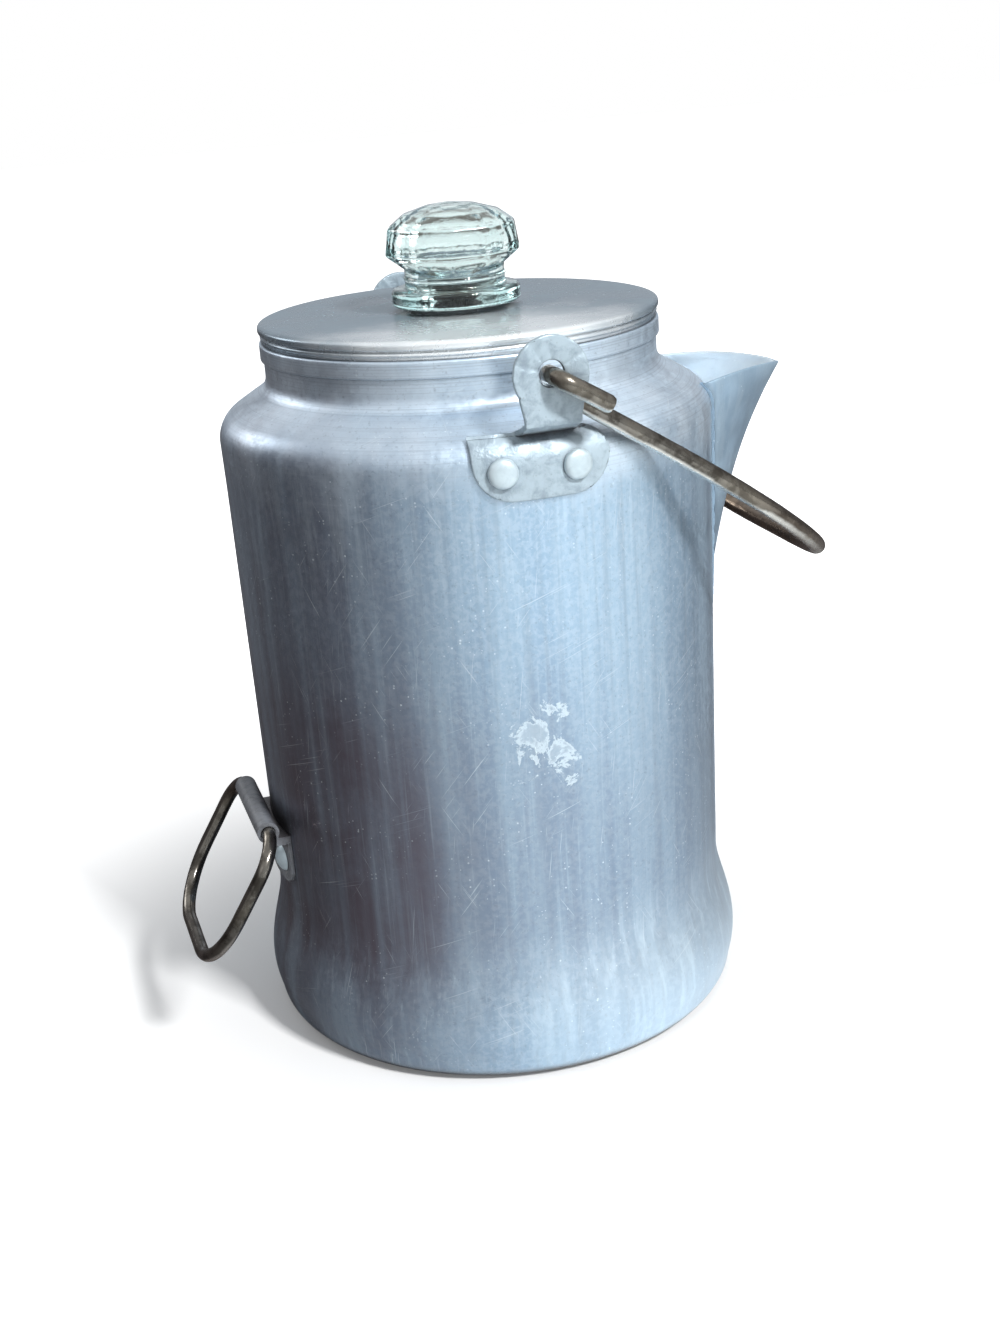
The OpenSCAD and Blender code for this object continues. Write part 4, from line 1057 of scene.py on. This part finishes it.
def lid_line():
    """The lid's closed outline, from the skirt up its outside, over the top and back inside."""
    skirt_r_out = neck_r - wall - lid_fit
    skirt_r_in = skirt_r_out - lid_t
    skirt_z0 = rim_z - 9.8 * MM
    rest = rim_z + seat_gap
    edge = lid_top - 1.9 * MM
    bead = rim_z + 1.9 * MM
    hole = knob_neck_r + lid_fit
    return eased([(skirt_r_in, skirt_z0, 0.3), (skirt_r_out, skirt_z0, 0.4),
                  (skirt_r_out, rest, 0.3), (rim_r - 1.3 * MM, rest, 0.15),
                  (rim_r - 1.1 * MM, rim_z + 1.1 * MM, 0.3), (rim_r - 0.35 * MM, bead, 0.7),
                  (rim_r - 1.2 * MM, bead + 1.0 * MM, 0.3), (lid_r - 1 * MM, edge - 1.4 * MM, 0.3),
                  (lid_r, edge - 0.9 * MM, 0.6), (lid_r, edge + 1.2 * MM, 0.9),
                  (lid_r - 2.0 * MM, lid_top, 1.2), (lid_r * 0.7, lid_top - 0.25 * MM, 8),
                  (knob_seat_r + 1.5 * MM, lid_top, 1.2), (knob_seat_r, seat_top, 0.8),
                  (hole, seat_top, 0.3), (hole, seat_top - lid_t, 0.3),
                  (knob_seat_r - lid_t, seat_top - lid_t, 0.6),
                  (knob_seat_r - lid_t, lid_top - lid_t, 0.6),
                  (skirt_r_in - 0.6 * MM, lid_top - lid_t, 0.6),
                  (skirt_r_in, lid_top - lid_t - 1 * MM, 0.4), (skirt_r_in, skirt_z0, 0)], 5)[:-1]


lid = lathe("lid_sheet", lid_line(), 256, smooth_under=60)
for vertex in lid.data.vertices:
    p = vertex.co
    if p.z > rim_z:
        p.z -= 0.18 * MM * (0.5 + 0.5 * noise.noise(Vector((p.x, p.y, 0)) * 30))


def lid_finish():
    """Satin top with faint rings, greyer than the body, clouded and specked."""
    made, tree, shader = new_material("lid_aluminium", {"Metallic": 0.65})
    cloud = clouded(tree, 0.022, 0.36, 0.66)
    # Painted highlight: bright on the side of the right ear, towards the front
    seen_from_above = vector_maths(tree, "MULTIPLY", object_place(tree), (0.8, 1, 0))
    from_highlight_middle = vector_maths(tree, "DISTANCE", seen_from_above, (-0.006, -0.062, 0))
    painted_highlight = ranged(tree, scaled(tree, cloud, 0.012, from_highlight_middle), 0.068, 0.02)
    colour = layered(tree, (0.19, 0.25, 0.30, 1), (cloud, 0.5, (0.30, 0.38, 0.44, 1)),
                     (clouded(tree, 0.004, 0.45, 0.68), 0.4, (0.20, 0.25, 0.31, 1)),
                     # painted highlight towards the front
                     (painted_highlight, 0.85, (0.94, 0.98, 1.0, 1)),
                     (specked(tree, 0.0013, 0.55), 1, (0.80, 0.88, 0.92, 1)))
    # creases darkened: painted shade and dirt
    fill(tree, shader, {"Base Color": shaded_and_grimed(tree, colour, 0.8, 0.004),
                        "Roughness": scaled(tree, cloud, 0.12, 0.22),
                        "Normal": bumped(tree, placed(tree, turning_lines, Pitch=0.0011), 0.2, 0.0002)})
    return made


dress(lid, lid_finish())
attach(lid, "lid")
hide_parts("lid")


# ---------------------------------------------------------------- glass knob
# Pressed pale aqua glass, hollow so that the coffee shows as it rises: ten facets with softly
# fired edges over a waist and a round flange, and a mould seam on two sides.
knob_flange_r = 22.8 * MM
knob_flange_top = seat_top + 6 * MM
knob_waist_r = 17.5 * MM
knob_waist_top = knob_flange_top + 7 * MM
knob_r = 24.6 * MM
knob_crown_r = 23.2 * MM
knob_dome_r = 17.5 * MM
knob_top = seat_top + 34.6 * MM
knob_bore_r = 9.5 * MM
knob_facets = 10
glass_t = 4.6 * MM
# Degrees from a corner of the ten-sided ring, with how far its soft edge is drawn in there
knob_corner = [(-4, 0), (-2.4, 0.002), (-0.9, 0.0065), (0, 0.009), (0.9, 0.0065), (2.4, 0.002),
               (4, 0), (11, 0), (18, 0), (25, 0)]
knob_seam_h = 0.22 * MM
knob_seams = (72, 252)


def knob_ring_shape():
    """Angles round the knob with the radius of a soft-cornered ten-sided ring at each."""
    half = 180 / knob_facets
    ring = []
    for k in range(knob_facets):
        for offset, pull in knob_corner:
            inside = abs(offset) if offset <= half else 2 * half - offset
            ring.append((k * 2 * half + offset, cosd(half) / cosd(half - inside) - pull))
    return ring


def knob_rings():
    """Rings from the seat up over the outside to the top, then down the hollow: (r, z, facets)."""
    belly = knob_waist_top + 5 * MM
    crown = belly + 9 * MM
    dome = knob_top - 3.4 * MM
    outside = eased([(knob_bore_r, seat_top, 0), (knob_flange_r, seat_top, 1.8),
                     (knob_flange_r, knob_flange_top, 2.2),
                     (knob_waist_r + 0.4 * MM, knob_flange_top + 0.3 * MM, 0.8),
                     (knob_waist_r, knob_flange_top + 2.6 * MM, 0.8),
                     (knob_waist_r + 0.7 * MM, knob_flange_top + 3.5 * MM, 0.5),
                     (knob_waist_r, knob_flange_top + 4.4 * MM, 0.6),
                     (knob_waist_r + 0.2 * MM, knob_waist_top, 0.8)], 4)
    cut = eased([(knob_waist_r + 1.2 * MM, knob_waist_top + 0.4 * MM, 0), (knob_r, belly, 0.7),
                 (knob_crown_r, crown, 0.7), (knob_dome_r, dome, 0.7),
                 (knob_dome_r * 0.5, knob_top - 0.8 * MM, 0.7), (knob_dome_r * 0.12, knob_top, 0)], 3)
    inside = eased([(0, knob_top - glass_t, 0), (9 * MM, knob_top - glass_t - 1.2 * MM, 3),
                    (knob_crown_r - glass_t - 2.5 * MM, crown - 1.5 * MM, 3),
                    (knob_r - glass_t - 2 * MM, belly, 3),
                    (knob_waist_r - glass_t, knob_waist_top - 1 * MM, 2),
                    (knob_waist_r - glass_t, knob_flange_top + 1.5 * MM, 2),
                    (knob_bore_r, knob_flange_top, 1.5), (knob_bore_r, seat_top, 0)], 4)[:-1]
    rings = [(r, z, 0) for r, z in outside] + [(r, z, 1) for r, z in cut] + [(0, knob_top, 1)]
    return rings + [(r, z, 0) for r, z in inside]


def knob_mesh():
    """The glass down to its seat; the waist and flange are round, the part above has facets."""
    shape = knob_ring_shape()
    vertices, index = [], []
    for r, z, facets in knob_rings():
        if r < 1e-7:
            index.append([len(vertices)] * len(shape))
            vertices.append((0, 0, z))
            continue
        index.append(list(range(len(vertices), len(vertices) + len(shape))))
        for angle, factor in shape:
            seamed = angle in knob_seams and z > seat_top and r > knob_waist_r - 1 * MM
            reach = r * (factor if facets else 1) + (knob_seam_h if seamed else 0)
            vertices.append((reach * cosd(angle), reach * sind(angle), z))
    faces = []
    for j in range(len(index)):
        low, high = index[j], index[(j + 1) % len(index)]
        for k in range(len(shape)):
            n = (k + 1) % len(shape)
            corners = list(dict.fromkeys([low[k], low[n], high[n], high[k]]))
            if len(corners) > 2:
                faces.append(corners)
    return piece_from("knob", vertices, faces, 80)


neck_end = seat_top - 8 * MM
neck_line = eased([(knob_bore_r, neck_end, 0), (knob_neck_r, neck_end, 0.9),
                   (knob_neck_r, seat_top - seat_gap, 0), (knob_bore_r, seat_top - seat_gap, 0)])
knob = joined("knob_of_glass", [knob_mesh(), lathe("neck", neck_line, 100)])
flat_facets = knob.modifiers.new("flat_facets", "WEIGHTED_NORMAL")
flat_facets.keep_sharp = True


def glass_finish():
    """Clear pressed glass with a slow ripple in its skin; the aqua shows where it is thick."""
    made, tree, shader = new_material("knob_glass", {"Transmission Weight": 1.0, "Roughness": 0.015,
                                                     "IOR": 1.5, "Base Color": (0.94, 0.99, 0.985, 1)})
    tint = add(tree, "VolumeAbsorption", {"Color": (0.05, 0.82, 0.86, 1), "Density": 10.0})
    tree.links.new(tint.outputs[0], tree.nodes["Material Output"].inputs["Volume"])
    fill(tree, shader, {"Normal": bumped(tree, clouded(tree, 0.006, 0.2, 0.8), 0.12, 0.0006)})
    return made


dress(knob, glass_finish())
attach(knob, "knob")
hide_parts("glass_knob")


# ---------------------------------------------------------------- pump, basket and spreader
# Spun and pierced sheet on a drawn tube, all loose in the pot under the lid. It is brighter
# than outside, with a brown tide from the coffee.
inner_metal = plain_finish("inner_aluminium", 0.8, 0.015, 0.6,
                           (0.56, 0.57, 0.57, 1), (0.34, 0.31, 0.27, 1), (0.15, 0.3))
for name in ("pump_tube", "pump_foot", "basket_stop", "basket", "basket_sleeve", "spreader",
             "spreader_sleeve"):
    dress(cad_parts[name], inner_metal)


# ---------------------------------------------------------------- floor, world and lights
# A plain pale table top and soft studio light: a soft key from the front above on the right,
# a weak fill from the left and one from behind. The room is pale in front and dim on the left.
floor_half = 6.0
light_side = Vector((0.375, -0.927, 0)).normalized()
dim_room = (0.075, 0.06, 0.058, 1)
pale_room = (0.97, 1.0, 1.0, 1)
floor_mesh = bpy.data.meshes.new("floor")
floor_mesh.from_pydata([(-floor_half, -floor_half, 0), (floor_half, -floor_half, 0),
                        (floor_half, floor_half, 0), (-floor_half, floor_half, 0)], [], [(0, 1, 2, 3)])
floor = new_object("floor", floor_mesh)


def make_room_side():
    """How pale the room is in a direction: 1 on the light's side, 0 on the other."""
    tree, given, end = new_group("room_side", "Mask", Direction=(0, 0, 1))
    facing = vector_maths(tree, "DOT_PRODUCT", given["Direction"], tuple(light_side))
    tree.links.new(maths(tree, "POWER", ranged(tree, facing, -0.6, 1.0, kind="LINEAR"), 1.8), end)
    return tree


room_side = make_room_side()
floor_paint, tree, shader = new_material("floor_white", {"Roughness": 0.9})
path = add(tree, "LightPath").outputs
place = object_place(tree)
room = mixed(tree, placed(tree, room_side, Direction=vector_maths(tree, "NORMALIZE", place)), dim_room,
             pale_room)
near_white = ranged(tree, vector_maths(tree, "LENGTH", place), 0.085, 0.32, 0.1, 1.0)
through = maths(tree, "MAXIMUM", path["Is Camera Ray"], path["Is Transmission Ray"])
lift = maths(tree, "MAXIMUM", times(tree, through, near_white), times(tree, path["Is Glossy Ray"], 0.1))
fill(tree, shader, {"Base Color": mixed(tree, path["Is Glossy Ray"], (0.80, 0.80, 0.80, 1), room),
                    "Emission Color": mixed(tree, through, room, (1, 1, 1, 1)),
                    "Emission Strength": lift})
dress(floor, floor_paint)

world = bpy.data.worlds.new("studio")
world.use_nodes = True
bpy.context.scene.world = world
tree = world.node_tree
path = add(tree, "LightPath").outputs
direction = add(tree, "TexCoord").outputs["Generated"]
height = axes(tree, direction)[2]
# A pale wall behind the pot, which the lid's flat top mirrors
behind = vector_maths(tree, "DOT_PRODUCT", direction, (0.284, 0.959, 0))
room = mixed(tree, placed(tree, room_side, Direction=direction), (0.16, 0.15, 0.16, 1), pale_room)
room = layered(tree, room, (ranged(tree, behind, 0.80, 0.97), 1, (0.5, 0.53, 0.57, 1)),
               (ranged(tree, height, 0.3, 0.7), 1, (1.0, 1.0, 1.0, 1)))
glass_room = mixed(tree, ranged(tree, height, 0.34, 0.5), (1, 1, 1, 1), (0.14, 0.12, 0.105, 1))
seen = layered(tree, room, (path["Is Transmission Ray"], 1, glass_room),
               (path["Is Diffuse Ray"], 1, (0.22, 0.23, 0.24, 1)),
               (path["Is Camera Ray"], 1, (1, 1, 1, 1)))
tree.links.new(seen, tree.nodes["Background"].inputs["Color"])


def soft_lamp(name, place, target, width, height, watts):
    """A rectangular soft box that faces the target."""
    data = bpy.data.lights.new(name, "AREA")
    data.shape = "RECTANGLE"
    data.size, data.size_y = width, height
    data.energy = watts
    lamp = new_object(name, data)
    lamp.location = place
    lamp.rotation_mode = "QUATERNION"
    lamp.rotation_quaternion = (Vector(target) - Vector(place)).to_track_quat("-Z", "Y")


pot_middle = (0, 0, 0.14)
soft_lamp("key", (0.62, -1.45, 1.6), pot_middle, 0.34, 0.28, 54)
soft_lamp("fill", (-1.6, -1.2, 0.9), pot_middle, 1.2, 1.2, 2)
soft_lamp("back", (-1.3, 1.5, 1.1), pot_middle, 0.8, 0.8, 8)
bpy.context.scene.view_settings.view_transform = "Standard"
